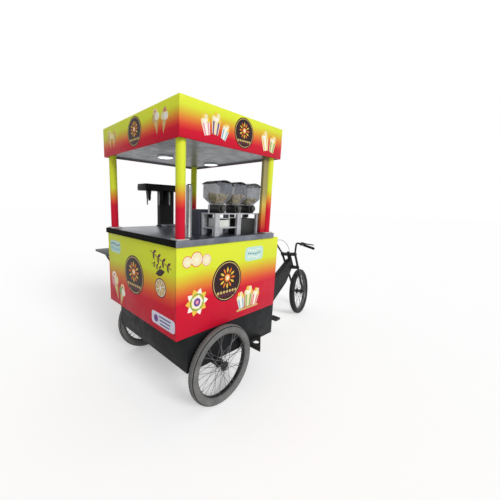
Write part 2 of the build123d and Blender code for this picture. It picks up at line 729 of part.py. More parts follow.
# Canopy on four round posts
POST_HALF_SPACING = BOX_SIDE - POST_SIDE_INSET
FRONT_POST_X = CANOPY_FRONT - POST_FRONT_INSET
POST_PLACES = [
    (x, side * POST_HALF_SPACING)
    for x in (BOX_REAR + POST_REAR_INSET, FRONT_POST_X)
    for side in (-1, 1)
]
with BuildPart() as canopy_posts:
    with BuildSketch(Plane.XY.offset(COUNTER_TOP)):
        with Locations(*POST_PLACES):
            Circle(POST_RADIUS)
    extrude(amount=CEILING_Z - COUNTER_TOP)
canopy_posts.part.label = "canopy_posts"
export_step(canopy_posts.part, "parts/canopy_posts.step")

with BuildPart() as post_flanges:
    with BuildSketch(Plane.XY.offset(COUNTER_TOP)):
        with Locations(*[(x, y - FLANGE_INSET * (1 if y > 0 else -1)) for x, y in POST_PLACES]):
            Rectangle(FLANGE_LENGTH, FLANGE_WIDTH)
        with Locations(*POST_PLACES):
            Circle(POST_RADIUS + FIT, mode=Mode.SUBTRACT)
    extrude(amount=FLANGE_THICKNESS)
post_flanges.part.label = "post_flanges"
export_step(post_flanges.part, "parts/post_flanges.step")

with BuildPart() as canopy_fascia:
    block(CANOPY_REAR, CANOPY_FRONT, -CANOPY_SIDE, CANOPY_SIDE, CANOPY_BOTTOM, CANOPY_TOP)
    block(
        CANOPY_REAR + FASCIA_THICKNESS, CANOPY_FRONT - FASCIA_THICKNESS,
        -CANOPY_SIDE + FASCIA_THICKNESS, CANOPY_SIDE - FASCIA_THICKNESS,
        CANOPY_BOTTOM, CANOPY_TOP, Mode.SUBTRACT,
    )
canopy_fascia.part.label = "canopy_fascia"
export_step(canopy_fascia.part, "parts/canopy_fascia.step")

INNER_CANOPY = (
    CANOPY_REAR + FASCIA_THICKNESS, CANOPY_FRONT - FASCIA_THICKNESS,
    -CANOPY_SIDE + FASCIA_THICKNESS, CANOPY_SIDE - FASCIA_THICKNESS,
)
with BuildPart() as canopy_ceiling:
    block(*INNER_CANOPY, CEILING_Z, CEILING_Z + SHEET)
canopy_ceiling.part.label = "canopy_ceiling"
export_step(canopy_ceiling.part, "parts/canopy_ceiling.step")

with BuildPart() as canopy_roof:
    block(*INNER_CANOPY, CANOPY_TOP - SHEET, CANOPY_TOP)
canopy_roof.part.label = "canopy_roof"
export_step(canopy_roof.part, "parts/canopy_roof.step")

with BuildPart() as ceiling_lamps:
    with BuildSketch(Plane.XY.offset(CEILING_Z)):
        with Locations(*LAMP_PLACES):
            Circle(LAMP_RADIUS)
    extrude(amount=-LAMP_THICKNESS)
ceiling_lamps.part.label = "ceiling_lamps"
export_step(ceiling_lamps.part, "parts/ceiling_lamps.step")

# Flat wiring trunking behind the front right post, up to the lamps
TRUNKING_X1 = FRONT_POST_X - POST_RADIUS - SEAT
with BuildPart() as post_trunking:
    block(
        TRUNKING_X1 - TRUNKING_WIDTH, TRUNKING_X1,
        -POST_HALF_SPACING - TRUNKING_DEPTH / 2, -POST_HALF_SPACING + TRUNKING_DEPTH / 2,
        COUNTER_TOP + FLANGE_THICKNESS, CEILING_Z,
    )
post_trunking.part.label = "post_trunking"
export_step(post_trunking.part, "parts/post_trunking.step")

# Side shelf on two gusset brackets
SHELF_X0 = BOX_REAR + 10
with BuildPart() as side_shelf:
    block(
        SHELF_X0, SHELF_X0 + SHELF_LENGTH, BOX_SIDE, BOX_SIDE + SHELF_REACH,
        SHELF_TOP - SHELF_THICKNESS, SHELF_TOP,
    )
side_shelf.part.label = "side_shelf"
export_step(side_shelf.part, "parts/side_shelf.step")

SHELF_UNDER = SHELF_TOP - SHELF_THICKNESS
with BuildPart() as shelf_brackets:
    far_end = SHELF_X0 + SHELF_LENGTH - SHELF_BRACKET_INSET - SHELF_BRACKET_THICKNESS
    tip = BOX_SIDE + SHELF_BRACKET_REACH
    root = BOX_SIDE + SHELF_BRACKET_RIM
    for x in (SHELF_X0 + SHELF_BRACKET_INSET, far_end):
        with BuildSketch(Plane.YZ.offset(x)):
            with BuildLine():
                Polyline(
                    (BOX_SIDE, SHELF_UNDER), (tip, SHELF_UNDER), (tip, SHELF_UNDER - SHELF_BRACKET_TIP),
                    (BOX_SIDE + SHELF_BRACKET_TIP, SHELF_UNDER - SHELF_BRACKET_DROP),
                    (BOX_SIDE, SHELF_UNDER - SHELF_BRACKET_DROP), close=True,
                )
            make_face()
        extrude(amount=SHELF_BRACKET_THICKNESS)
        with BuildSketch(Plane.YZ.offset(x)):
            with BuildLine():
                Polyline(
                    (root, SHELF_UNDER - SHELF_BRACKET_RIM),
                    (tip - 3.5 * SHELF_BRACKET_RIM, SHELF_UNDER - SHELF_BRACKET_RIM),
                    (root, SHELF_UNDER - SHELF_BRACKET_DROP + 1.7 * SHELF_BRACKET_RIM), close=True,
                )
            make_face()
        extrude(amount=SHELF_BRACKET_THICKNESS, mode=Mode.SUBTRACT)
        block(x, x + SHELF_BRACKET_FLANGE, BOX_SIDE, tip, SHELF_UNDER - SHELF_BRACKET_SHEET, SHELF_UNDER)
shelf_brackets.part.label = "shelf_brackets"
export_step(shelf_brackets.part, "parts/shelf_brackets.step")

# Steering frame: Z along the steering axis, X forward, Y left, turned to the photographed angle
AXIS_TILT = radians(HEAD_ANGLE)
AXIS_FOOT = (
    WHEELBASE - FORK_OFFSET * cos(AXIS_TILT), 0, WHEEL_RADIUS - FORK_OFFSET * sin(AXIS_TILT),
)
STRAIGHT = Plane(
    origin=AXIS_FOOT, x_dir=(cos(AXIS_TILT), 0, sin(AXIS_TILT)), z_dir=(-sin(AXIS_TILT), 0, cos(AXIS_TILT)),
)
TURN = radians(STEER_AT_REST)
STEER = Plane(
    origin=AXIS_FOOT, x_dir=STRAIGHT.x_dir * cos(TURN) + STRAIGHT.y_dir * sin(TURN), z_dir=STRAIGHT.z_dir,
)


def at(forward, left, along):
    """Gives the world point at a place in the turned steering frame."""
    return STEER.from_local_coords(Vector(forward, left, along))


def on_axis(along):
    """Gives the world point at a height along the steering axis."""
    return STRAIGHT.from_local_coords(Vector(0, 0, along))


WHEEL_CENTRE = tuple(at(FORK_OFFSET, 0, 0))
FRONT_AXLE_DIRECTION = tuple(STEER.y_dir)
FRONT_RADIAL = tuple(STEER.x_dir)

with BuildPart() as front_tyre:
    ring(WHEEL_CENTRE, FRONT_AXLE_DIRECTION, FRONT_RADIAL, tyre_outline())
front_tyre.part.label = "front_tyre"
export_step(front_tyre.part, "parts/front_tyre.step")

with BuildPart() as front_rim:
    ring(WHEEL_CENTRE, FRONT_AXLE_DIRECTION, FRONT_RADIAL, rim_outline())
front_rim.part.label = "front_rim"
export_step(front_rim.part, "parts/front_rim.step")

with BuildPart() as front_spokes:
    wheel_spokes(WHEEL_CENTRE, FRONT_AXLE_DIRECTION, FRONT_RADIAL)
front_spokes.part.label = "front_spokes"
export_step(front_spokes.part, "parts/front_spokes.step")

with BuildPart() as front_hub:
    ring(
        WHEEL_CENTRE, FRONT_AXLE_DIRECTION, FRONT_RADIAL,
        hub_outline(FRONT_AXLE_RADIUS + FIT, FRONT_HUB_LENGTH),
    )
front_hub.part.label = "front_hub"
export_step(front_hub.part, "parts/front_hub.step")

# Double-crown fork with its steerer and wheel spindle
STEERER_TOP = UPPER_CROWN + CROWN_THICKNESS + 26
with BuildPart() as fork:
    rod(on_axis(LOWER_CROWN), on_axis(STEERER_TOP), STEERER_RADIUS)
    for along, half_width in ((LOWER_CROWN, CROWN_HALF_WIDTH - 8), (UPPER_CROWN, CROWN_HALF_WIDTH)):
        with BuildSketch(STEER.offset(along)):
            RectangleRounded(CROWN_DEPTH, 2 * half_width, CROWN_DEPTH * 0.4)
        extrude(amount=CROWN_THICKNESS)
    for side in (-1, 1):
        top = at(0, side * FORK_LEG_TOP_SPREAD, UPPER_CROWN + CROWN_THICKNESS / 2)
        tip = at(FORK_OFFSET * 0.6, side * FORK_LEG_TIP_SPREAD, 26)
        rod(tip, top, FORK_LEG_RADIUS)
        end_y = side * FORK_LEG_TIP_SPREAD
        with BuildSketch(Plane(origin=at(FORK_OFFSET, end_y - 4, 0), x_dir=STEER.x_dir, z_dir=STEER.y_dir)):
            with Locations((-4, -16)):
                Rectangle(30, 64)
            Circle(18)
        extrude(amount=8)
    with BuildSketch(STEER.offset(LOWER_CROWN + 4)):
        with Locations((CROWN_DEPTH / 2 + CABLE_STOP / 2 - 1, 0)):
            Rectangle(CABLE_STOP + 2, CABLE_STOP)
    extrude(amount=CROWN_THICKNESS - 8)
    rod(
        at(FORK_OFFSET, -FORK_LEG_TIP_SPREAD - 16, 0), at(FORK_OFFSET, FORK_LEG_TIP_SPREAD + 16, 0),
        FRONT_AXLE_RADIUS,
    )
fork.part.label = "fork"
export_step(fork.part, "parts/fork.step")

# Handlebar: one tube on two risers that stand on the upper crown
def bar_point(place, side):
    return at(place[0], side * place[1], place[2])


with BuildPart() as handlebar:
    for side in (-1, 1):
        foot = bar_point(BAR_RISER_FOOT, side)
        top = bar_point(BAR_RISER_TOP, side)
        end = bar_point(BAR_END, side)
        with BuildLine():
            half_bar = FilletPolyline(foot, top, end, radius=BAR_BEND_RADIUS)
        with BuildSketch(Plane(origin=half_bar @ 0, z_dir=half_bar % 0)):
            Circle(BAR_RADIUS)
        sweep(path=half_bar)
        base = bar_point((0, BAR_RISER_FOOT[1], UPPER_CROWN + CROWN_THICKNESS), side)
        rod(base, base + STEER.z_dir * 16, BAR_RADIUS + 4)
handlebar.part.label = "handlebar"
export_step(handlebar.part, "parts/handlebar.step")


def bar_direction(side):
    return (bar_point(BAR_END, side) - bar_point(BAR_RISER_TOP, side)).normalized()


with BuildPart() as grips:
    for side in (-1, 1):
        end = bar_point(BAR_END, side)
        along = bar_direction(side)
        start = end - along * GRIP_LENGTH
        rod(start, end + along * 3, GRIP_RADIUS)
        rod(start, end, BAR_RADIUS + FIT, Mode.SUBTRACT)
grips.part.label = "grips"
export_step(grips.part, "parts/grips.step")

# Brake levers hang ahead of the grips on their clamps
LEVER_PIVOT_BACK = 34
LEVER_PIVOT_OUT = 30
LEVER_CLAMP_RADIUS = 17
LEVER_HALF = LEVER_THICKNESS / 2
CABLE_EXIT = (-9 - CABLE_BARREL_LENGTH, 24, -(LEVER_HALF + SEAT + CABLE_BARREL_RADIUS))


def lever_frame(side):
    """Gives the plane of a brake lever: X along the bar to its end, Y to the front, Z square to both."""
    along = bar_direction(side)
    forward = (STEER.x_dir - along * STEER.x_dir.dot(along)).normalized()
    origin = bar_point(BAR_END, side) - along * (GRIP_LENGTH + LEVER_PIVOT_BACK)
    return Plane(origin=origin, x_dir=along, z_dir=along.cross(forward))


for side, hand in ((1, "left"), (-1, "right")):
    plane = lever_frame(side)
    with BuildPart() as brake_lever:
        with BuildSketch(plane.offset(-LEVER_HALF)):
            with BuildLine():
                Polyline(
                    (-9, LEVER_PIVOT_OUT - 7), (4, LEVER_PIVOT_OUT - 9), (40, LEVER_PIVOT_OUT - 4),
                    (LEVER_LENGTH, LEVER_PIVOT_OUT + 22), (LEVER_LENGTH + 6, LEVER_PIVOT_OUT + 30),
                    (LEVER_LENGTH - 6, LEVER_PIVOT_OUT + 32), (36, LEVER_PIVOT_OUT + 10),
                    (0, LEVER_PIVOT_OUT + 9), (-9, LEVER_PIVOT_OUT + 4), close=True,
                )
            make_face()
            with Locations((0, LEVER_PIVOT_OUT)):
                Circle(LEVER_PIN_RADIUS + FIT, mode=Mode.SUBTRACT)
        extrude(amount=LEVER_THICKNESS)
    brake_lever.part.label = f"brake_lever_{hand}"
    export_step(brake_lever.part, f"parts/brake_lever_{hand}.step")

with BuildPart() as lever_clamps:
    for side in (-1, 1):
        plane = lever_frame(side)
        centre = plane.origin
        along = plane.x_dir
        rod(centre - along * 12, centre + along * 12, LEVER_CLAMP_RADIUS)
        rod(centre - along * 12, centre + along * 12, BAR_RADIUS + FIT, Mode.SUBTRACT)
        for layer in (-LEVER_HALF - SEAT - LEVER_CHEEK, LEVER_HALF + SEAT):
            with BuildSketch(plane.offset(layer)):
                with Locations((0, LEVER_PIVOT_OUT / 2 + 10)):
                    Rectangle(20, 22)
            extrude(amount=LEVER_CHEEK)
        pin_foot = plane.from_local_coords(Vector(0, LEVER_PIVOT_OUT, -LEVER_THICKNESS))
        pin_head = plane.from_local_coords(Vector(0, LEVER_PIVOT_OUT, LEVER_THICKNESS))
        rod(pin_foot, pin_head, LEVER_PIN_RADIUS)
    plane = lever_frame(1)
    rod(
        plane.from_local_coords(Vector(-9, CABLE_EXIT[1], CABLE_EXIT[2])),
        plane.from_local_coords(Vector(CABLE_EXIT)), CABLE_BARREL_RADIUS,
    )
lever_clamps.part.label = "lever_clamps"
export_step(lever_clamps.part, "parts/lever_clamps.step")

# Cycle frame: deep folded beam, spine under the floor, head tube, bottom bracket and seat tube
SEAT_TUBE_FOOT = Vector(CRANK_X - SEAT_TUBE_BACK, 0, SPINE_BOTTOM + SEAT_TUBE_RADIUS)
SEAT_TUBE_HEAD = Vector(CRANK_X - SEAT_TUBE_BACK - SEAT_TUBE_RAKE, 0, SEAT_TUBE_TOP)
SEAT_TUBE_RUN = (SEAT_TUBE_HEAD - SEAT_TUBE_FOOT).normalized()
HEAD_TUBE_BOTTOM = LOWER_CROWN + CROWN_THICKNESS + SEAT
HEAD_TUBE_TOP = UPPER_CROWN - SEAT


def behind_head(along, back):
    """Gives X and Z of a place behind the steering axis."""
    place = STRAIGHT.from_local_coords(Vector(-back, 0, along))
    return (place.X, place.Z)


BEAM_OUTLINE = [
    (FRAME_X0 + 20, SPINE_BOTTOM),
    (CRANK_X - 95, SPINE_BOTTOM),
    (CRANK_X - 52, CRANK_Z - 32),
    (CRANK_X + 170, CRANK_Z - 32),
    (CRANK_X + 255, CRANK_Z + 18),
    behind_head(HEAD_TUBE_BOTTOM - 78, HEAD_TUBE_RADIUS + 203),
    behind_head(HEAD_TUBE_BOTTOM + 25, HEAD_TUBE_RADIUS - 2),
    behind_head(HEAD_TUBE_TOP - 50, HEAD_TUBE_RADIUS - 4),
    (CRANK_X + 335, 640),
    (CRANK_X + 90, 560),
    (CRANK_X - 60, SPINE_TOP),
    (FRAME_X0 + 20, SPINE_TOP),
]
with BuildPart() as main_beam:
    side_plate(BEAM_OUTLINE, -BEAM_WIDTH / 2, BEAM_WIDTH / 2)
    with BuildSketch(Plane(origin=(0, -BEAM_WIDTH / 2 + BEAM_WALL, 0), x_dir=(1, 0, 0), z_dir=(0, -1, 0))):
        with BuildLine():
            Polyline(*BEAM_OUTLINE, close=True)
        make_face()
        offset(amount=-BEAM_WALL, kind=Kind.INTERSECTION, mode=Mode.REPLACE)
    extrude(amount=-(BEAM_WIDTH - 2 * BEAM_WALL), mode=Mode.SUBTRACT)
    block(
        FRAME_X0, FRAME_X0 + 60, -BEAM_WIDTH / 2 + BEAM_WALL, BEAM_WIDTH / 2 - BEAM_WALL,
        SPINE_BOTTOM + BEAM_WALL, SPINE_TOP - BEAM_WALL, Mode.SUBTRACT,
    )
    rod(on_axis(HEAD_TUBE_BOTTOM), on_axis(HEAD_TUBE_TOP), HEAD_TUBE_RADIUS)
    rod(on_axis(LOWER_CROWN), on_axis(UPPER_CROWN), STEERER_RADIUS + FIT, Mode.SUBTRACT)
    rod((CRANK_X, -36, CRANK_Z), (CRANK_X, 36, CRANK_Z), BOTTOM_BRACKET_RADIUS)
    rod((CRANK_X, -40, CRANK_Z), (CRANK_X, 40, CRANK_Z), SPINDLE_RADIUS + FIT, Mode.SUBTRACT)
    rod(SEAT_TUBE_FOOT, SEAT_TUBE_HEAD, SEAT_TUBE_RADIUS)
    seat_tube_bore = SEAT_TUBE_FOOT + SEAT_TUBE_RUN * SEAT_TUBE_SOLID
    rod(seat_tube_bore, SEAT_TUBE_HEAD, SEAT_POST_RADIUS + FIT, Mode.SUBTRACT)
main_beam.part.label = "main_beam"
export_step(main_beam.part, "parts/main_beam.step")

# Saddle on its post
SADDLE_UNDER = SADDLE_TOP - SADDLE_HEIGHT
POST_HEAD = SEAT_TUBE_FOOT + SEAT_TUBE_RUN * ((SADDLE_UNDER - SEAT_TUBE_FOOT.Z) / SEAT_TUBE_RUN.Z)
with BuildPart() as seat_post:
    post_top = POST_HEAD - SEAT_TUBE_RUN * (SEAT_CLAMP_HEIGHT / 2)
    rod(SEAT_TUBE_FOOT + SEAT_TUBE_RUN * SEAT_POST_SUNK, post_top, SEAT_POST_RADIUS)
    block(
        POST_HEAD.X - SEAT_CLAMP_LENGTH / 2, POST_HEAD.X + SEAT_CLAMP_LENGTH / 2,
        -SEAT_CLAMP_WIDTH / 2, SEAT_CLAMP_WIDTH / 2, SADDLE_UNDER - SEAT_CLAMP_HEIGHT, SADDLE_UNDER,
    )
seat_post.part.label = "seat_post"
export_step(seat_post.part, "parts/seat_post.step")

SADDLE_REAR = POST_HEAD.X - 0.46 * SADDLE_LENGTH
with BuildPart() as saddle:
    with BuildSketch(Plane.XY.offset(SADDLE_UNDER)):
        with BuildLine():
            Polyline(
                (SADDLE_REAR, -0.3 * SADDLE_WIDTH), (SADDLE_REAR + 0.16 * SADDLE_LENGTH, -0.5 * SADDLE_WIDTH),
                (SADDLE_REAR + 0.4 * SADDLE_LENGTH, -0.42 * SADDLE_WIDTH),
                (SADDLE_REAR + 0.66 * SADDLE_LENGTH, -0.15 * SADDLE_WIDTH),
                (SADDLE_REAR + SADDLE_LENGTH, -0.1 * SADDLE_WIDTH),
                (SADDLE_REAR + SADDLE_LENGTH, 0.1 * SADDLE_WIDTH),
                (SADDLE_REAR + 0.66 * SADDLE_LENGTH, 0.15 * SADDLE_WIDTH),
                (SADDLE_REAR + 0.4 * SADDLE_LENGTH, 0.42 * SADDLE_WIDTH),
                (SADDLE_REAR + 0.16 * SADDLE_LENGTH, 0.5 * SADDLE_WIDTH), (SADDLE_REAR, 0.3 * SADDLE_WIDTH),
                close=True,
            )
        make_face()
    extrude(amount=SADDLE_TOP - SADDLE_UNDER, taper=12)
saddle.part.label = "saddle"
export_step(saddle.part, "parts/saddle.step")

# Crankset: toothed chainring on a spider, spindle, two arms and the pedal pins
CRANK_TURN = radians(CRANK_ANGLE)
CRANK_REACH = Vector(CRANK_LENGTH * cos(CRANK_TURN), 0, CRANK_LENGTH * sin(CRANK_TURN))
CRANK_CENTRE = Vector(CRANK_X, 0, CRANK_Z)
SPINDLE_HALF = CRANK_ARM_OFFSET - CRANK_ARM_THICKNESS
PIN_LENGTH = PEDAL_LENGTH + 2 * PEDAL_GAP_TO_ARM
with BuildPart() as crankset:
    rod((CRANK_X, -SPINDLE_HALF, CRANK_Z), (CRANK_X, SPINDLE_HALF, CRANK_Z), SPINDLE_RADIUS)
    ring_face = (CRANK_X, -CHAIN_LINE + SPROCKET_THICKNESS / 2, CRANK_Z)
    with BuildSketch(Plane(origin=ring_face, x_dir=(1, 0, 0), z_dir=(0, -1, 0))):
        sprocket_sketch(CRANK_TEETH, CRANK_PITCH_RADIUS)
        Circle(CRANK_PITCH_RADIUS - CHAINRING_RIM, mode=Mode.SUBTRACT)
        with PolarLocations(CRANK_PITCH_RADIUS / 2 - 2, SPIDER_ARM_COUNT):
            Rectangle(CRANK_PITCH_RADIUS - CHAINRING_RIM, SPIDER_ARM_WIDTH)
        Circle(CHAINRING_BOSS_RADIUS)
    extrude(amount=SPROCKET_THICKNESS)
    for side in (-1, 1):
        arm_face = CRANK_CENTRE + Vector(0, side * SPINDLE_HALF, 0)
        reach = CRANK_REACH * -side
        with BuildSketch(Plane(origin=arm_face, x_dir=reach, z_dir=(0, side, 0))):
            with Locations((CRANK_LENGTH / 2, 0)):
                SlotCenterToCenter(CRANK_LENGTH, CRANK_ARM_WIDTH)
        extrude(amount=CRANK_ARM_THICKNESS)
        pin_foot = CRANK_CENTRE + reach + Vector(0, side * CRANK_ARM_OFFSET, 0)
        rod(pin_foot, pin_foot + Vector(0, side * PIN_LENGTH, 0), PEDAL_PIN_RADIUS)
crankset.part.label = "crankset"
export_step(crankset.part, "parts/crankset.step")

for side, hand in ((1, "left"), (-1, "right")):
    middle = CRANK_CENTRE + CRANK_REACH * -side
    y0 = side * (CRANK_ARM_OFFSET + PEDAL_GAP_TO_ARM)
    y1 = side * (CRANK_ARM_OFFSET + PEDAL_GAP_TO_ARM + PEDAL_LENGTH)
    low, high = min(y0, y1), max(y0, y1)
    bottom = middle.Z - PEDAL_THICKNESS / 2
    top = middle.Z + PEDAL_THICKNESS / 2
    with BuildPart() as pedal:
        for end in (-1, 1):
            outer = middle.X + end * PEDAL_WIDTH / 2
            inner = outer - end * PEDAL_BLOCK_WIDTH
            block(min(outer, inner), max(outer, inner), low, high, bottom, top)
            plate = low if end < 0 else high - PEDAL_END_PLATE
            block(
                middle.X - PEDAL_WIDTH / 2, middle.X + PEDAL_WIDTH / 2,
                plate, plate + PEDAL_END_PLATE, bottom, top,
            )
        rod((middle.X, low, middle.Z), (middle.X, high, middle.Z), PEDAL_BARREL_RADIUS)
        rod((middle.X, low, middle.Z), (middle.X, high, middle.Z), PEDAL_PIN_RADIUS + FIT, Mode.SUBTRACT)
    pedal.part.label = f"pedal_{hand}"
    export_step(pedal.part, f"parts/pedal_{hand}.step")

# Chain: two rows of side plates that follow the links around both toothed wheels, pinned on the runs
DRIVE_LENGTH = sqrt(CRANK_X**2 + (CRANK_Z - WHEEL_RADIUS) ** 2)
DRIVE_SLOPE = atan2(CRANK_Z - WHEEL_RADIUS, CRANK_X)
CONTACT = pi / 2 + (CRANK_PITCH_RADIUS - AXLE_PITCH_RADIUS) / DRIVE_LENGTH


def chain_outline(shift):
    """Gives the chain's closed line in X and Z, moved outwards by a distance."""
    points = []
    crank_links = CRANK_TEETH // 2
    for k in range(crank_links + 1):
        angle = DRIVE_SLOPE - CONTACT + 2 * CONTACT * k / crank_links
        radius = CRANK_PITCH_RADIUS + shift
        points.append((CRANK_X + radius * cos(angle), CRANK_Z + radius * sin(angle)))
    axle_links = AXLE_TEETH // 2
    for k in range(axle_links + 1):
        angle = DRIVE_SLOPE + CONTACT + 2 * (pi - CONTACT) * k / axle_links
        radius = AXLE_PITCH_RADIUS + shift
        points.append((radius * cos(angle), WHEEL_RADIUS + radius * sin(angle)))
    return points


PLATE_INNER = SPROCKET_THICKNESS / 2 + 0.5
PLATE_OUTER = PLATE_INNER + CHAIN_PLATE_THICKNESS
with BuildPart() as drive_chain:
    for side in (-1, 1):
        near = -CHAIN_LINE + side * PLATE_INNER
        far = -CHAIN_LINE + side * PLATE_OUTER
        side_plate(chain_outline(CHAIN_PLATE_HEIGHT / 2), min(near, far), max(near, far))
        side_plate(chain_outline(-CHAIN_PLATE_HEIGHT / 2), min(near, far), max(near, far), Mode.SUBTRACT)
    crank_foot, axle_foot = chain_outline(0)[CRANK_TEETH // 2], chain_outline(0)[CRANK_TEETH // 2 + 1]
    run = Vector(crank_foot[0] - axle_foot[0], 0, crank_foot[1] - axle_foot[1])
    pin_pitch = CHAIN_PIN_STEP * CHAIN_PITCH
    for k in range(1, int(run.length / pin_pitch)):
        share = k * pin_pitch / run.length
        for sign in (-1, 1):
            x = axle_foot[0] + share * run.X
            z = WHEEL_RADIUS + sign * (axle_foot[1] - WHEEL_RADIUS) + share * (
                run.Z if sign > 0 else -run.Z + 2 * (CRANK_Z - WHEEL_RADIUS)
            )
            with BuildSketch(Plane(origin=(x, -CHAIN_LINE - PLATE_OUTER, z), z_dir=(0, 1, 0))):
                RegularPolygon(CHAIN_PIN_RADIUS, 6)
            extrude(amount=2 * PLATE_OUTER)
drive_chain.part.label = "drive_chain"
export_step(drive_chain.part, "parts/drive_chain.step")

# Drinks dispenser: column on a foot, overhanging head, nozzles and a lever behind each
with BuildPart() as dispenser_column:
    column_x1 = COLUMN_X0 + COLUMN_LENGTH
    column_y1 = COLUMN_Y0 + COLUMN_DEPTH
    block(COLUMN_X0, column_x1, COLUMN_Y0, column_y1, COUNTER_TOP, HEAD_BOTTOM)
    fillet(dispenser_column.edges().filter_by(Axis.Z), radius=COLUMN_CORNER)
    block(
        COLUMN_X0 - COLUMN_FOOT_REACH, column_x1 + COLUMN_FOOT_REACH,
        COLUMN_Y0 - COLUMN_FOOT_DEPTH, column_y1,
        COUNTER_TOP, COUNTER_TOP + COLUMN_FOOT_HEIGHT,
    )
dispenser_column.part.label = "dispenser_column"
export_step(dispenser_column.part, "parts/dispenser_column.step")

with BuildPart() as dispenser_head:
    block(
        HEAD_X0, HEAD_X0 + HEAD_LENGTH, HEAD_Y0, HEAD_Y0 + HEAD_DEPTH,
        HEAD_BOTTOM, HEAD_BOTTOM + HEAD_HEIGHT,
    )
    chamfer(dispenser_head.edges().filter_by(Axis.X).group_by(Axis.Z)[-1], length=HEAD_CHAMFER)
dispenser_head.part.label = "dispenser_head"
export_step(dispenser_head.part, "parts/dispenser_head.step")

with BuildPart() as dispenser_nozzles:
    for k in range(NOZZLE_COUNT):
        x = NOZZLE_FIRST_X + k * NOZZLE_PITCH
        rod((x, NOZZLE_Y, HEAD_BOTTOM - NOZZLE_LENGTH), (x, NOZZLE_Y, HEAD_BOTTOM), NOZZLE_TIP_RADIUS)
        rod((x, NOZZLE_Y, HEAD_BOTTOM - NOZZLE_COLLAR), (x, NOZZLE_Y, HEAD_BOTTOM), NOZZLE_RADIUS)
dispenser_nozzles.part.label = "dispenser_nozzles"
export_step(dispenser_nozzles.part, "parts/dispenser_nozzles.step")

for k in range(NOZZLE_COUNT):
    x = NOZZLE_FIRST_X + k * NOZZLE_PITCH
    half = TAP_LEVER_THICKNESS / 2
    with BuildPart() as tap_lever:
        with BuildSketch(Plane.XZ.offset(-TAP_LEVER_Y - half)):
            with BuildLine():
                Polyline(
                    (x - 7, HEAD_BOTTOM - SEAT), (x - 9, HEAD_BOTTOM - 60), (x - 13, HEAD_BOTTOM - 78),
                    (x - 2, HEAD_BOTTOM - TAP_LEVER_LENGTH), (x + 2, HEAD_BOTTOM - TAP_LEVER_LENGTH),
                    (x + 13, HEAD_BOTTOM - 78), (x + 9, HEAD_BOTTOM - 60), (x + 7, HEAD_BOTTOM - SEAT),
                    close=True,
                )
            make_face()
        extrude(amount=TAP_LEVER_THICKNESS)
    tap_lever.part.label = f"tap_lever_{k + 1}"
    export_step(tap_lever.part, f"parts/tap_lever_{k + 1}.step")

with BuildPart() as drip_tray:
    tray_x1 = COLUMN_X0 + TRAY_LENGTH
    tray_y1 = COLUMN_Y0 - COLUMN_FOOT_DEPTH
    block(COLUMN_X0, tray_x1, tray_y1 - TRAY_DEPTH, tray_y1, COUNTER_TOP, COUNTER_TOP + TRAY_HEIGHT)
    block(
        COLUMN_X0 + TRAY_WALL, tray_x1 - TRAY_WALL,
        tray_y1 - TRAY_DEPTH + TRAY_WALL, tray_y1 - TRAY_WALL,
        COUNTER_TOP + TRAY_WALL, COUNTER_TOP + TRAY_HEIGHT, Mode.SUBTRACT,
    )
drip_tray.part.label = "drip_tray"
export_step(drip_tray.part, "parts/drip_tray.step")

# Upright steel tube with a domed cap and a round foot, open below
TUBE_TOP = COUNTER_TOP + STRAW_TUBE_HEIGHT
TUBE_INNER = STRAW_TUBE_RADIUS - STRAW_TUBE_WALL
with BuildPart() as straw_tube:
    with BuildSketch(Plane(origin=(STRAW_TUBE_X, STRAW_TUBE_Y, 0), x_dir=(1, 0, 0), z_dir=(0, -1, 0))):
        with BuildLine():
            Polyline(
                (0, TUBE_TOP), (0.5 * STRAW_TUBE_RADIUS, TUBE_TOP),
                (STRAW_TUBE_RADIUS, TUBE_TOP - STRAW_TUBE_DOME),
                (STRAW_TUBE_RADIUS, COUNTER_TOP + STRAW_TUBE_FOOT),
                (2 * STRAW_TUBE_RADIUS, COUNTER_TOP + STRAW_TUBE_FOOT),
                (2 * STRAW_TUBE_RADIUS, COUNTER_TOP), (TUBE_INNER, COUNTER_TOP),
                (TUBE_INNER, TUBE_TOP - STRAW_TUBE_DOME - STRAW_TUBE_WALL),
                (0, TUBE_TOP - STRAW_TUBE_DOME - STRAW_TUBE_WALL), close=True,
            )
        make_face()
    revolve(axis=Axis((STRAW_TUBE_X, STRAW_TUBE_Y, 0), (0, 0, 1)))
straw_tube.part.label = "straw_tube"
export_step(straw_tube.part, "parts/straw_tube.step")

# Sheet-metal warmer cabinet, open below where it stands on the counter
with BuildPart() as warmer_box:
    x1 = WARMER_X0 + WARMER_LENGTH
    y1 = WARMER_Y0 + WARMER_DEPTH
    block(WARMER_X0, x1, WARMER_Y0, y1, COUNTER_TOP, COUNTER_TOP + WARMER_HEIGHT)
    block(
        WARMER_X0 + WARMER_WALL, x1 - WARMER_WALL, WARMER_Y0 + WARMER_WALL, y1 - WARMER_WALL,
        COUNTER_TOP, COUNTER_TOP + WARMER_HEIGHT - WARMER_WALL, Mode.SUBTRACT,
    )
    block(
        WARMER_X0 - WARMER_LID_REACH, x1 + WARMER_LID_REACH,
        WARMER_Y0 - WARMER_LID_REACH, y1 + WARMER_LID_REACH,
        COUNTER_TOP + WARMER_HEIGHT, COUNTER_TOP + WARMER_HEIGHT + WARMER_LID_HEIGHT,
    )
warmer_box.part.label = "warmer_box"
export_step(warmer_box.part, "parts/warmer_box.step")

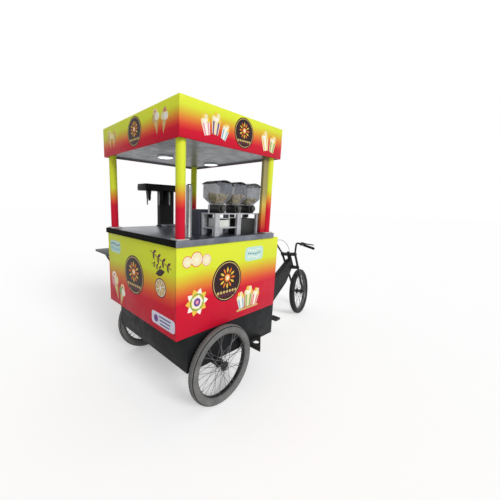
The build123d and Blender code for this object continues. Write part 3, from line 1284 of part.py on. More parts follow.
# Hopper rack: legs, two shelves and forked supports between the hoppers
RACK_X0 = HOPPER_FIRST_X - HOPPER_PITCH / 2
RACK_X1 = RACK_X0 + HOPPER_COUNT * HOPPER_PITCH
HOPPER_PLACES = [HOPPER_FIRST_X + k * HOPPER_PITCH for k in range(HOPPER_COUNT)]
LEG_PLACES = (RACK_X0, (RACK_X0 + RACK_X1 - RACK_LEG_WIDTH) / 2, RACK_X1 - RACK_LEG_WIDTH)
with BuildPart() as rack_frame:
    block(RACK_X0, RACK_X1, RACK_Y0, RACK_Y1, RACK_SHELF_TOP - RACK_SHELF_THICKNESS, RACK_SHELF_TOP)
    for x in LEG_PLACES:
        for y in (RACK_Y0, RACK_Y1 - RACK_LEG_DEPTH):
            block(
                x, x + RACK_LEG_WIDTH, y, y + RACK_LEG_DEPTH,
                COUNTER_TOP, RACK_SHELF_TOP - RACK_SHELF_THICKNESS,
            )
    block(
        LEG_PLACES[0], LEG_PLACES[1], RACK_Y0 + RACK_LEG_DEPTH / 2, RACK_Y1 - RACK_LEG_DEPTH / 2,
        RACK_LOW_SHELF_TOP - RACK_SHELF_THICKNESS, RACK_LOW_SHELF_TOP,
    )
    for x in HOPPER_PLACES:
        rod(
            (x, RACK_Y, RACK_SHELF_TOP - RACK_SHELF_THICKNESS), (x, RACK_Y, RACK_SHELF_TOP),
            SPOUT_RADIUS + SEAT, Mode.SUBTRACT,
        )
    for k in range(HOPPER_COUNT + 1):
        x = RACK_X0 + k * HOPPER_PITCH
        left = max(x - RACK_UPRIGHT_WIDTH / 2, RACK_X0)
        right = min(x + RACK_UPRIGHT_WIDTH / 2, RACK_X1)
        side_plate(
            [(left, RACK_SHELF_TOP), (right, RACK_SHELF_TOP), (right, HOPPER_BASE), (left, HOPPER_BASE)],
            RACK_Y - RACK_UPRIGHT_DEPTH / 2, RACK_Y + RACK_UPRIGHT_DEPTH / 2,
        )
rack_frame.part.label = "rack_frame"
export_step(rack_frame.part, "parts/rack_frame.step")

# Clear hoppers: straight above with crowned upper edges, funnelled below, open at both ends
HOPPER_FRONT = Plane(origin=(0, RACK_Y - HOPPER_DEPTH / 2, 0), x_dir=(1, 0, 0), z_dir=(0, -1, 0))


def hopper_shell(x, inset, mode=Mode.ADD):
    """Adds or cuts one hopper's body, drawn in by the wall when it is the inside."""
    sections = []
    for z, width, depth in (
        (HOPPER_BASE, HOPPER_MOUTH, HOPPER_MOUTH), (HOPPER_SHOULDER, HOPPER_WIDTH, HOPPER_DEPTH),
    ):
        with BuildSketch(Plane.XY.offset(z)) as level:
            with Locations((x, RACK_Y)):
                Rectangle(width - 2 * inset, depth - 2 * inset)
        sections.append(level.sketch)
    loft(sections=sections, ruled=True, mode=mode)
    extrude(sections[-1], amount=HOPPER_TOP + CROWN_RISE - HOPPER_SHOULDER, mode=mode)


def crown_corners(base):
    """Gives the ends and the middle of each crown's arc at a height."""
    half = HOPPER_PITCH / 2
    return [((x - half, base), (x, base + CROWN_RISE), (x + half, base)) for x in HOPPER_PLACES]


def crown_layer(low, high, crowned_above, mode=Mode.ADD):
    """Adds or cuts a layer over the hoppers whose underside follows the crowns."""
    with BuildSketch(HOPPER_FRONT) as layer:
        with BuildLine():
            for corners in crown_corners(low):
                ThreePointArc(*corners)
            left, right = (RACK_X0, low), (RACK_X1, low)
            if crowned_above:
                for corners in crown_corners(high):
                    ThreePointArc(*corners)
                Line(left, (RACK_X0, high))
                Line(right, (RACK_X1, high))
            else:
                Polyline(left, (RACK_X0, high), (RACK_X1, high), right)
        make_face()
    extrude(layer.sketch, amount=-HOPPER_DEPTH, mode=mode)


with BuildPart() as hoppers:
    for x in HOPPER_PLACES:
        hopper_shell(x, 0)
    for x in HOPPER_PLACES:
        hopper_shell(x, HOPPER_WALL, Mode.SUBTRACT)
    crown_layer(HOPPER_TOP, HOPPER_TOP + 2 * CROWN_RISE, False, Mode.SUBTRACT)
hoppers.part.label = "hoppers"
export_step(hoppers.part, "parts/hoppers.step")

# Portion valves: a drum across each outlet, its spout through the shelf and its knob in front
VALVE_Y0 = RACK_Y - VALVE_LENGTH / 2
with BuildPart() as hopper_valves:
    for x in HOPPER_PLACES:
        rod((x, VALVE_Y0, VALVE_Z), (x, VALVE_Y0 + VALVE_LENGTH, VALVE_Z), VALVE_RADIUS)
        block(
            x - HOPPER_MOUTH / 2 + VALVE_NECK_INSET, x + HOPPER_MOUTH / 2 - VALVE_NECK_INSET,
            VALVE_Y0 + VALVE_NECK_INSET, VALVE_Y0 + VALVE_LENGTH - VALVE_NECK_INSET,
            HOPPER_BASE - VALVE_NECK_DROP, HOPPER_BASE,
        )
        block(
            x - HOPPER_MOUTH, x + HOPPER_MOUTH, VALVE_Y0 - 1, VALVE_Y0 + VALVE_LENGTH + 1,
            HOPPER_BASE, HOPPER_BASE + VALVE_RADIUS, Mode.SUBTRACT,
        )
        rod((x, RACK_Y, RACK_SHELF_TOP - SPOUT_LENGTH), (x, RACK_Y, VALVE_Z), SPOUT_RADIUS)
        shaft_end = (x, VALVE_Y0 + KNOB_SHAFT_DEPTH + 2, VALVE_Z)
        rod((x, VALVE_Y0, VALVE_Z), shaft_end, KNOB_SHAFT_RADIUS + FIT, Mode.SUBTRACT)
hopper_valves.part.label = "hopper_valves"
export_step(hopper_valves.part, "parts/hopper_valves.step")

for number, x in enumerate(HOPPER_PLACES, start=1):
    with BuildPart() as portion_knob:
        knob_y = VALVE_Y0 - KNOB_STAND_OFF
        rod((x, knob_y, VALVE_Z), (x, VALVE_Y0 + KNOB_SHAFT_DEPTH, VALVE_Z), KNOB_SHAFT_RADIUS)
        with BuildSketch(Plane(origin=(x, knob_y, VALVE_Z), x_dir=(1, 0, 0), z_dir=(0, -1, 0))):
            RegularPolygon(KNOB_RADIUS, KNOB_SIDES)
        extrude(amount=KNOB_LENGTH)
    portion_knob.part.label = f"portion_knob_{number}"
    export_step(portion_knob.part, f"parts/portion_knob_{number}.step")

# One moulded cover that follows the crowns, hinged along its back edge
with BuildPart() as hopper_cover:
    crown_layer(HOPPER_TOP + SEAT, HOPPER_TOP + SEAT + COVER_THICKNESS, True)
hopper_cover.part.label = "hopper_cover"
export_step(hopper_cover.part, "parts/hopper_cover.step")

# Napkin box on the low shelf, open to the front, and a closed box beside it on the counter
with BuildPart() as rack_boxes:
    nz0 = RACK_LOW_SHELF_TOP
    ny0 = RACK_Y0 + RACK_LEG_DEPTH / 2
    block(NAPKIN_X0, NAPKIN_X0 + NAPKIN_LENGTH, ny0, ny0 + NAPKIN_DEPTH, nz0, nz0 + NAPKIN_HEIGHT)
    block(
        NAPKIN_X0 + NAPKIN_WALL, NAPKIN_X0 + NAPKIN_LENGTH - NAPKIN_WALL,
        ny0, ny0 + NAPKIN_DEPTH - NAPKIN_WALL,
        nz0 + NAPKIN_WALL, nz0 + NAPKIN_HEIGHT - NAPKIN_WALL, Mode.SUBTRACT,
    )
    side_x0 = LEG_PLACES[1] + RACK_LEG_WIDTH + SEAT
    block(
        side_x0, side_x0 + SIDE_BOX_LENGTH, ny0, ny0 + SIDE_BOX_DEPTH,
        COUNTER_TOP, COUNTER_TOP + SIDE_BOX_HEIGHT,
    )
rack_boxes.part.label = "rack_boxes"
export_step(rack_boxes.part, "parts/rack_boxes.step")

# Brake cable from the left lever, in an arch over the bar and down ahead of the head tube
CABLE_ROUTE = [
    lever_frame(1).from_local_coords(Vector(CABLE_EXIT) - Vector(SEAT, 0, 0)),
    lever_frame(1).from_local_coords(Vector(-60, 26, -8)),
    at(38, 84, 858),
    at(46, 36, 828),
    at(47, 10, 772),
    at(42, -2, 708),
    at(35, 5, 642),
    at(38, -3, 578),
    at(33, 1, 516),
    at(31, 0, LOWER_CROWN + CROWN_THICKNESS - 4 + SEAT),
]
CABLE_RADII = []
for before, corner, after in zip(CABLE_ROUTE, CABLE_ROUTE[1:], CABLE_ROUTE[2:]):
    arriving = corner - before
    leaving = after - corner
    half_turn = radians(arriving.get_angle(leaving)) / 2
    CABLE_RADII.append(0.45 * min(arriving.length, leaving.length) / tan(half_turn))
with BuildPart() as brake_cable:
    with BuildLine():
        cable_path = FilletPolyline(*CABLE_ROUTE, radius=CABLE_RADII)
    with BuildSketch(Plane(origin=cable_path @ 0, z_dir=cable_path % 0)) as cable_section:
        RegularPolygon(CABLE_RADIUS, 8)
    sweep(path=cable_path)
brake_cable.part.label = "brake_cable"
export_step(brake_cable.part, "parts/brake_cable.step")
print("brake cable: length", round(cable_path.length), "mm, tightest bend", round(min(CABLE_RADII)), "mm")
print("brake cable: volume over section times length", round(
    brake_cable.part.volume / (cable_section.sketch.area * cable_path.length), 4))
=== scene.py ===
"""Dresses a bicycle food cart: printed film on the cabinet and canopy, a steel counter with its equipment,
laced wheels with treaded tyres, the pedal end with its tall fork, and a plain studio round it."""

import json
from math import asin, atan2, cos, pi, radians, sin, tau

import bmesh
import bpy
from bpy.props import FloatProperty, FloatVectorProperty, IntProperty, PointerProperty
from mathutils import Matrix, Vector


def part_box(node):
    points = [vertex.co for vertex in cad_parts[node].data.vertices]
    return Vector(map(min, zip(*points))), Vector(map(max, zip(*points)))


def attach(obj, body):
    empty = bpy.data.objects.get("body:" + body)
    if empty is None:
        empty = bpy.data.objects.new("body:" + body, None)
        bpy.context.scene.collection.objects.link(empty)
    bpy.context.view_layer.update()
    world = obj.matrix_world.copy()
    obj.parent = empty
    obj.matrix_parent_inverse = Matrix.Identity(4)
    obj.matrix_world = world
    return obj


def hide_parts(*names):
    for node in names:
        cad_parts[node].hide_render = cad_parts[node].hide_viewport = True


bl_info = {
    "name": "Bicycle Food Cart",
    "version": (1, 0, 0),
    "blender": (4, 5, 0),
    "location": "3D View > Sidebar > Food Cart",
    "description": "Dresses a three-wheeled bicycle food cart around its frame",
    "category": "Object",
}

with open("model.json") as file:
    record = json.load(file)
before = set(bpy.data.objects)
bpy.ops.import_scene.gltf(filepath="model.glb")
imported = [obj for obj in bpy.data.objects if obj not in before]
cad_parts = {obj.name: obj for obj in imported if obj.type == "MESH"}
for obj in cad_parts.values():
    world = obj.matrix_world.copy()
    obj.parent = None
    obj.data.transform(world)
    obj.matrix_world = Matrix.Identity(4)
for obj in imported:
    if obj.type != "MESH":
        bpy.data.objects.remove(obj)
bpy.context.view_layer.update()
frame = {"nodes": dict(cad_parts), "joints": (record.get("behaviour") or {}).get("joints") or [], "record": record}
NODES = frame["nodes"]
BODY_OF = {node: body for body, group in frame["record"]["behaviour"]["bodies"].items() for node in group}
SLOT_OF = {entry["node"]: entry["material_slot"] for entry in frame["record"]["subparts"]}
JOINTS = {joint["name"]: joint for joint in frame["joints"]}

# Wheels
TYRE_LOW, TYRE_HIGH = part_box("rear_tyres")
RIM_LOW, RIM_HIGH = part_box("rear_rims")
WHEEL_RADIUS = (TYRE_HIGH.z - TYRE_LOW.z) / 2
RIM_RADIUS = (RIM_HIGH.z - RIM_LOW.z) / 2
TYRE_FRAME_WIDTH = 0.052
TYRE_WIDTH = 0.068
TYRE_BEAD_DROP = 0.020
BEAD_ANGLE = 150
SECTION_STEP = 3
TYRE_RISE = (WHEEL_RADIUS - RIM_RADIUS + TYRE_BEAD_DROP) / (1 - cos(radians(BEAD_ANGLE)))
GROOVE_START, GROOVE_END = 0.0215, 0.0250
# The stretch round each groove that takes the darker rubber: partly painted shade in the groove, partly rubber
# that keeps less dust
GROOVE_SHADE_START, GROOVE_SHADE_END = 0.0205, 0.0255
GROOVE_DEPTH = 0.0030
TREAD_STAND = 0.0009
TREAD_SHOULDER = 0.0148
TREAD_SINK = 0.0021
TREAD_LEAN = 0.4
RIM_WIDTH = 0.034
RIM_DEPTH = 0.028
HALF_TRACK = TYRE_HIGH.y - TYRE_FRAME_WIDTH / 2
REAR_HUB_LENGTH = 0.084
FRONT_HUB_LENGTH = 0.096
HUB_BARREL_RADIUS = 0.026
HUB_FLANGE_RADIUS = 0.038
HUB_FLANGE_SPACING = 0.056
AXLE_RADIUS = 0.0125
FRONT_AXLE_RADIUS = 0.006
HUB_CLEARANCE = 0.0002
SPOKE_RADIUS = 0.0016
SPOKE_LACING = radians(55)
SPOKE_RIM_OFFSET = 0.0045
SPOKE_STAGGER = 0.00175

# Steering frame, from the joints: Z up the steering axis, Y along the front axle, X forward
STEER_Z = Vector(JOINTS["steering"]["axis"]).normalized()
STEER_Y = Vector(JOINTS["front_wheel_spin"]["axis"]).normalized()
STEER_X = STEER_Y.cross(STEER_Z)
FRONT_CENTRE = Vector(JOINTS["front_wheel_spin"]["pos_m"])
FORK_OFFSET = 0.028
STEER_FOOT = FRONT_CENTRE - STEER_X * FORK_OFFSET
BAR_TOP = (0, 0.132, 0.838)
BAR_END = (-0.044, 0.338, 0.782)
GRIP_RADIUS = 0.016
GRIP_LENGTH = 0.125
CABLE_DIAMETER = 0.005

# Hoppers
HOPPER_LOW, HOPPER_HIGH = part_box("hoppers")
COVER_LOW, COVER_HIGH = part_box("hopper_cover")
HOPPER_PITCH = (COVER_HIGH.x - COVER_LOW.x) / 3
HOPPER_XS = [COVER_LOW.x + (k + 0.5) * HOPPER_PITCH for k in range(3)]
HOPPER_Y = (HOPPER_LOW.y + HOPPER_HIGH.y) / 2
HOPPER_WIDTH = 0.156
HOPPER_DEPTH = HOPPER_HIGH.y - HOPPER_LOW.y
HOPPER_MOUTH = 0.088
HOPPER_BASE = HOPPER_LOW.z
COVER_GAP = 0.0003
HOPPER_TOP = JOINTS["hopper_cover_lift"]["pos_m"][2] - COVER_GAP
HOPPER_SHOULDER = HOPPER_TOP - 0.090
CROWN_RISE = 0.024

# Heights between which each printed film runs through its colours
CABINET_BAND = (0.595, 1.235)
POST_BAND = (1.235, 1.826)
FASCIA_BAND = (1.812, 2.030)

# Prints: the foot of every layer, and how much each motif is raised above the one before, in layers
INK_FOOT = 0.00008
MOTIF_LIFT = 0.11

# Camera, fitted to the photograph's edges, for a picture of 500 by 500
PICTURE = 500
CAMERA_PLACE = Vector((-1.301, -1.776, 1.452))
CAMERA_YAW = 0.8351594
CAMERA_PITCH = 0.1809678
CAMERA_ROLL = 0.0252232
CAMERA_FOCUS = 268.6541
CAMERA_CENTRE = (206.0757, 253.5609)
SENSOR = 36.0

# The height up to which dust from the road settles on paint
DUST_TOP = 0.75

# Studio
FLOOR_REACH = 60.0
SUN_DIRECTION = Vector((0.12, 0.86, -0.50))
SUN_SPREAD = radians(28)


def linear(red, green, blue):
    """Turns a colour as a screen shows it, 0 to 255, into the shader's linear one."""
    def channel(value):
        value = value / 255
        return value / 12.92 if value <= 0.04045 else ((value + 0.055) / 1.055) ** 2.4
    return (channel(red), channel(green), channel(blue), 1.0)


# Shader and geometry trees

def wire(tree, kind, incoming=None, **settings):
    """Adds a node; incoming gives a value or a socket for each input, by name or number."""
    made = tree.nodes.new(kind)
    for key, value in settings.items():
        setattr(made, key, value)
    for key, value in (incoming or {}).items():
        if isinstance(value, bpy.types.NodeSocket):
            tree.links.new(value, made.inputs[key])
        else:
            made.inputs[key].default_value = value
    return made


def feed(tree, kind, incoming=None, **settings):
    """Adds a node in the same way and gives its first output."""
    return wire(tree, kind, incoming, **settings).outputs[0]


def new_material(name):
    """Gives an empty material's tree with its output and its shader."""
    material = bpy.data.materials.new(name)
    material.use_nodes = True
    tree = material.node_tree
    tree.nodes.clear()
    shader = wire(tree, "ShaderNodeBsdfPrincipled")
    wire(tree, "ShaderNodeOutputMaterial", {"Surface": shader.outputs[0]})
    return material, tree, shader


def place_on(tree, stretch=(1, 1, 1)):
    """Object coordinates, stretched by a mapping."""
    source = wire(tree, "ShaderNodeTexCoord").outputs["Object"]
    return feed(tree, "ShaderNodeMapping", {"Vector": source, "Scale": stretch})


def height_on(tree):
    """The height of a point above the ground."""
    return wire(tree, "ShaderNodeSeparateXYZ", {0: place_on(tree)}).outputs[2]


def grain(tree, scale, stretch=(1, 1, 1), detail=3.0, roughness=0.55):
    """A soft noise on the object's own coordinates."""
    noise = wire(tree, "ShaderNodeTexNoise", {
        "Vector": place_on(tree, stretch), "Scale": scale, "Detail": detail, "Roughness": roughness,
    })
    return noise.outputs[0]


def between(tree, factor, low, high, start=0.0, end=1.0):
    """Maps a factor's stretch from start to end onto low to high."""
    return feed(tree, "ShaderNodeMapRange", {
        "Value": factor, "From Min": start, "From Max": end, "To Min": low, "To Max": high,
    })


def mixed(tree, factor, first, second):
    """Mixes two colours by a factor."""
    return wire(tree, "ShaderNodeMix", {0: factor, 6: first, 7: second}, data_type="RGBA").outputs[2]


def math(tree, operation, first, second=0.0, **settings):
    """Reckons with one or two values."""
    return feed(tree, "ShaderNodeMath", {0: first, 1: second}, operation=operation, **settings)


def ramp(tree, factor, *stops):
    """A colour ramp with stops given as (place, colour)."""
    made = wire(tree, "ShaderNodeValToRGB", {0: factor})
    band = made.color_ramp
    while len(band.elements) < len(stops):
        band.elements.new(0.5)
    for element, (place, colour) in zip(band.elements, stops):
        element.position = place
        element.color = colour
    return made.outputs[0]


def bumped(tree, shader, height, strength, distance):
    """Gives the shader a bump from a height."""
    bump = wire(tree, "ShaderNodeBump", {"Height": height, "Strength": strength, "Distance": distance})
    tree.links.new(bump.outputs[0], shader.inputs["Normal"])


def painted(tree, shader, colour, gloss=None):
    """Gives the shader its colour and, if asked, its roughness."""
    tree.links.new(colour, shader.inputs["Base Color"])
    if gloss is not None:
        tree.links.new(gloss, shader.inputs["Roughness"])


def set_shader(shader, **values):
    """Sets the shader's own sockets; an underscore in a name stands for a space."""
    for key, value in values.items():
        shader.inputs[key.replace("_", " ")].default_value = value


def mottled_finish(name, colour, other, rough, rough_other, scale=14.0, bump=0.0, bump_scale=300.0, dirt=None,
                   dirt_top=0.0, **fixed):
    """A plain coat whose colour and gloss wander a little, with a fine bump and dust towards the ground."""
    material, tree, shader = new_material(name)
    cloud = between(tree, grain(tree, scale, detail=5.0), 0.0, 1.0, 0.32, 0.70)
    shade = mixed(tree, cloud, linear(*colour), linear(*other))
    if dirt is not None:
        low = between(tree, height_on(tree), DUST_TOP, 0.0, 0.0, dirt_top)
        shade = mixed(tree, math(tree, "MULTIPLY", low, grain(tree, scale * 2.3)), shade, linear(*dirt))
    painted(tree, shader, shade, between(tree, grain(tree, scale * 3.1), rough, rough_other, 0.3, 0.7))
    if bump:
        bumped(tree, shader, grain(tree, bump_scale, detail=2.0), bump, 0.001)
    set_shader(shader, **fixed)
    return material


def brushed_steel(name, colour, other, stretch, rough=0.24, rough_other=0.42):
    """Sheet or bar steel with long brush marks."""
    material, tree, shader = new_material(name)
    marks = grain(tree, 120.0, stretch, 6.0, 0.7)
    wear = grain(tree, 7.0, detail=4.0)
    shade = mixed(tree, between(tree, wear, 0.0, 1.0, 0.35, 0.68), linear(*colour), linear(*other))
    blur = math(tree, "ADD", between(tree, marks, rough, rough_other, 0.3, 0.7),
                between(tree, wear, -0.04, 0.08))
    painted(tree, shader, shade, blur)
    bumped(tree, shader, marks, 0.08, 0.0004)
    set_shader(shader, Metallic=1.0)
    return material


def wrap_film(name, band, crimson_to, lime_from, slope=(0.0, 0.0)):
    """Printed vinyl: crimson below, through orange, to lime yellow above, over a band of heights in metres.
    The colours rise or fall along the cart's length and width by the two slopes."""
    material, tree, shader = new_material(name)
    colours = bpy.context.scene.cart_wrap
    bottom, top = band
    x, y, z = wire(tree, "ShaderNodeSeparateXYZ", {0: place_on(tree)}).outputs
    tilt = math(tree, "ADD", math(tree, "MULTIPLY", x, slope[0]), math(tree, "MULTIPLY", y, slope[1]))
    level = math(tree, "SUBTRACT", z, tilt)
    drift = between(tree, grain(tree, 2.2, (1, 1, 0.3), 1.0), -0.04, 0.04)
    share = math(tree, "ADD", between(tree, level, 0.0, 1.0, bottom, top), drift)
    low = (crimson_to - bottom) / (top - bottom)
    high = (lime_from - bottom) / (top - bottom)
    step = (high - low) / 4
    crimson, amber, lime = ((*colour, 1) for colour in (colours.crimson, colours.amber, colours.lime))
    film = ramp(
        tree, share, (0.0, linear(196, 20, 48)), (low, crimson), (low + step, linear(219, 78, 52)),
        (low + 2 * step, amber), (low + 3 * step, linear(216, 186, 54)), (min(high, 0.97), lime),
        (1.0, linear(222, 231, 62)),
    )
    scuffs = between(tree, grain(tree, 38.0, detail=6.0, roughness=0.7), 0.0, 0.10, 0.55, 0.9)
    film = mixed(tree, scuffs, film, linear(150, 120, 70))
    painted(tree, shader, film,
            between(tree, grain(tree, 9.0), colours.gloss, colours.gloss + 0.16, 0.3, 0.7))
    bumped(tree, shader, grain(tree, 26.0, detail=2.0), 0.06, 0.002)
    set_shader(shader, Specular_IOR_Level=0.12)
    return material


def trunking_film_shaded_top(name):
    """Film on the wiring trunking: the wrap's lower colours, then khaki up to the ceiling, which is the film's
    yellow with painted shade.
    """
    material, tree, shader = new_material(name)
    share = between(tree, height_on(tree), 0.0, 1.0, *POST_BAND)
    # The khaki stops above the orange are painted shade on the yellow film
    film = ramp(tree, share, (0.05, linear(190, 34, 46)), (0.21, linear(206, 112, 50)),
                (0.38, linear(204, 180, 84)), (0.54, linear(158, 146, 98)), (1.0, linear(146, 136, 94)))
    painted(tree, shader, film, between(tree, grain(tree, 12.0), 0.42, 0.6, 0.3, 0.7))
    bumped(tree, shader, grain(tree, 60.0), 0.08, 0.001)
    set_shader(shader, Specular_IOR_Level=0.15)
    return material


def tyre_rubber(name, clean, dust, amount):
    """Rubber that is dusty where it rolls and on the walls; the darker, less dusty copy in the recesses beside the
    tread is partly painted shade.
    """
    material, tree, shader = new_material(name)
    cloud = grain(tree, 18.0, detail=6.0, roughness=0.65)
    patches = between(tree, cloud, amount - 0.22, amount + 0.12, 0.3, 0.7)
    fine = between(tree, grain(tree, 220.0), -0.08, 0.08)
    share = math(tree, "ADD", patches, fine, use_clamp=True)
    painted(tree, shader, mixed(tree, share, linear(*clean), linear(*dust)), between(tree, share, 0.62, 0.9))
    bumped(tree, shader, grain(tree, 420.0, detail=2.0), 0.25, 0.0006)
    set_shader(shader, Specular_IOR_Level=0.25)
    return material


def sealed_board(name):
    """Varnished board with a fine lengthwise grain."""
    material, tree, shader = new_material(name)
    lines = grain(tree, 30.0, (0.6, 9.0, 9.0), 6.0, 0.6)
    shade = ramp(tree, lines, (0.3, linear(46, 48, 50)), (0.52, linear(64, 66, 69)),
                 (0.75, linear(54, 56, 58)))
    painted(tree, shader, shade, between(tree, lines, 0.42, 0.6))
    bumped(tree, shader, lines, 0.15, 0.0005)
    return material


def smoked_clear(name, dark, pale, rough, alpha):
    """Smoky clear plastic with drawn vertical lines and a little haze; the pale streaks along the lines are
    painted highlights.
    """
    material, tree, shader = new_material(name)
    lines = grain(tree, 60.0, (6.0, 6.0, 0.35))
    # Pale vertical streaks: painted highlights on the clear plastic
    painted_highlight_streaks = between(tree, lines, 0.0, 1.0, 0.42, 0.66)
    painted(tree, shader, mixed(tree, painted_highlight_streaks, linear(*dark), linear(*pale)),
            between(tree, lines, rough, rough + 0.14, 0.3, 0.7))
    bumped(tree, shader, lines, 0.10, 0.0008)
    set_shader(shader, Alpha=alpha)
    return material


def lamp_diffuser(name):
    """A lit round diffuser with a faint prism pattern."""
    material, tree, shader = new_material(name)
    cells = feed(tree, "ShaderNodeTexVoronoi", {"Vector": place_on(tree), "Scale": 160.0})
    painted(tree, shader, ramp(tree, cells, (0.0, linear(226, 230, 240)), (1.0, linear(250, 252, 255))))
    bumped(tree, shader, cells, 0.3, 0.0008)
    set_shader(shader, Roughness=0.4, Emission_Color=(0.86, 0.88, 1.0, 1.0), Emission_Strength=1.6)
    return material


def saddle_leather(name):
    """Black leather with a pebbled grain."""
    material, tree, shader = new_material(name)
    cells = feed(tree, "ShaderNodeTexVoronoi", {"Vector": place_on(tree), "Scale": 340.0},
                 feature="DISTANCE_TO_EDGE")
    pebble = between(tree, cells, 0.0, 1.0, 0.0, 0.09)
    wear = grain(tree, 16.0, detail=5.0)
    worn = between(tree, wear, 0.0, 1.0, 0.4, 0.7)
    painted(tree, shader, mixed(tree, worn, linear(30, 28, 27), linear(52, 48, 45)),
            between(tree, wear, 0.42, 0.62))
    bumped(tree, shader, pebble, 0.35, 0.0005)
    return material


def print_ink(name, red, green, blue):
    """A printed colour on film, with the screen's faint dots."""
    material, tree, shader = new_material(name)
    dots = between(tree, grain(tree, 240.0, detail=2.0), 0.0, 0.22, 0.4, 0.75)
    colour = linear(red, green, blue)
    darker = tuple(channel * 0.72 for channel in colour[:3]) + (1.0,)
    painted(tree, shader, mixed(tree, dots, colour, darker), between(tree, dots, 0.3, 0.44, 0.0, 0.22))
    set_shader(shader, Specular_IOR_Level=0.15)
    return material


def cereal(name):
    """Puffed sweets whose colour changes from piece to piece."""
    material, tree, shader = new_material(name)
    tint = wire(tree, "ShaderNodeAttribute", attribute_name="tint").outputs["Fac"]
    shade = ramp(tree, tint, (0.0, linear(244, 226, 74)), (0.35, linear(250, 240, 128)),
                 (0.6, linear(238, 206, 62)), (0.85, linear(214, 158, 60)), (1.0, linear(252, 246, 186)))
    painted(tree, shader, shade)
    bumped(tree, shader, grain(tree, 500.0), 0.5, 0.001)
    set_shader(shader, Roughness=0.7)
    return material


def coat(*tones_and_gloss, **rest):
    """A plain coat that waits to be made."""
    return lambda: mottled_finish(*tones_and_gloss, **rest)


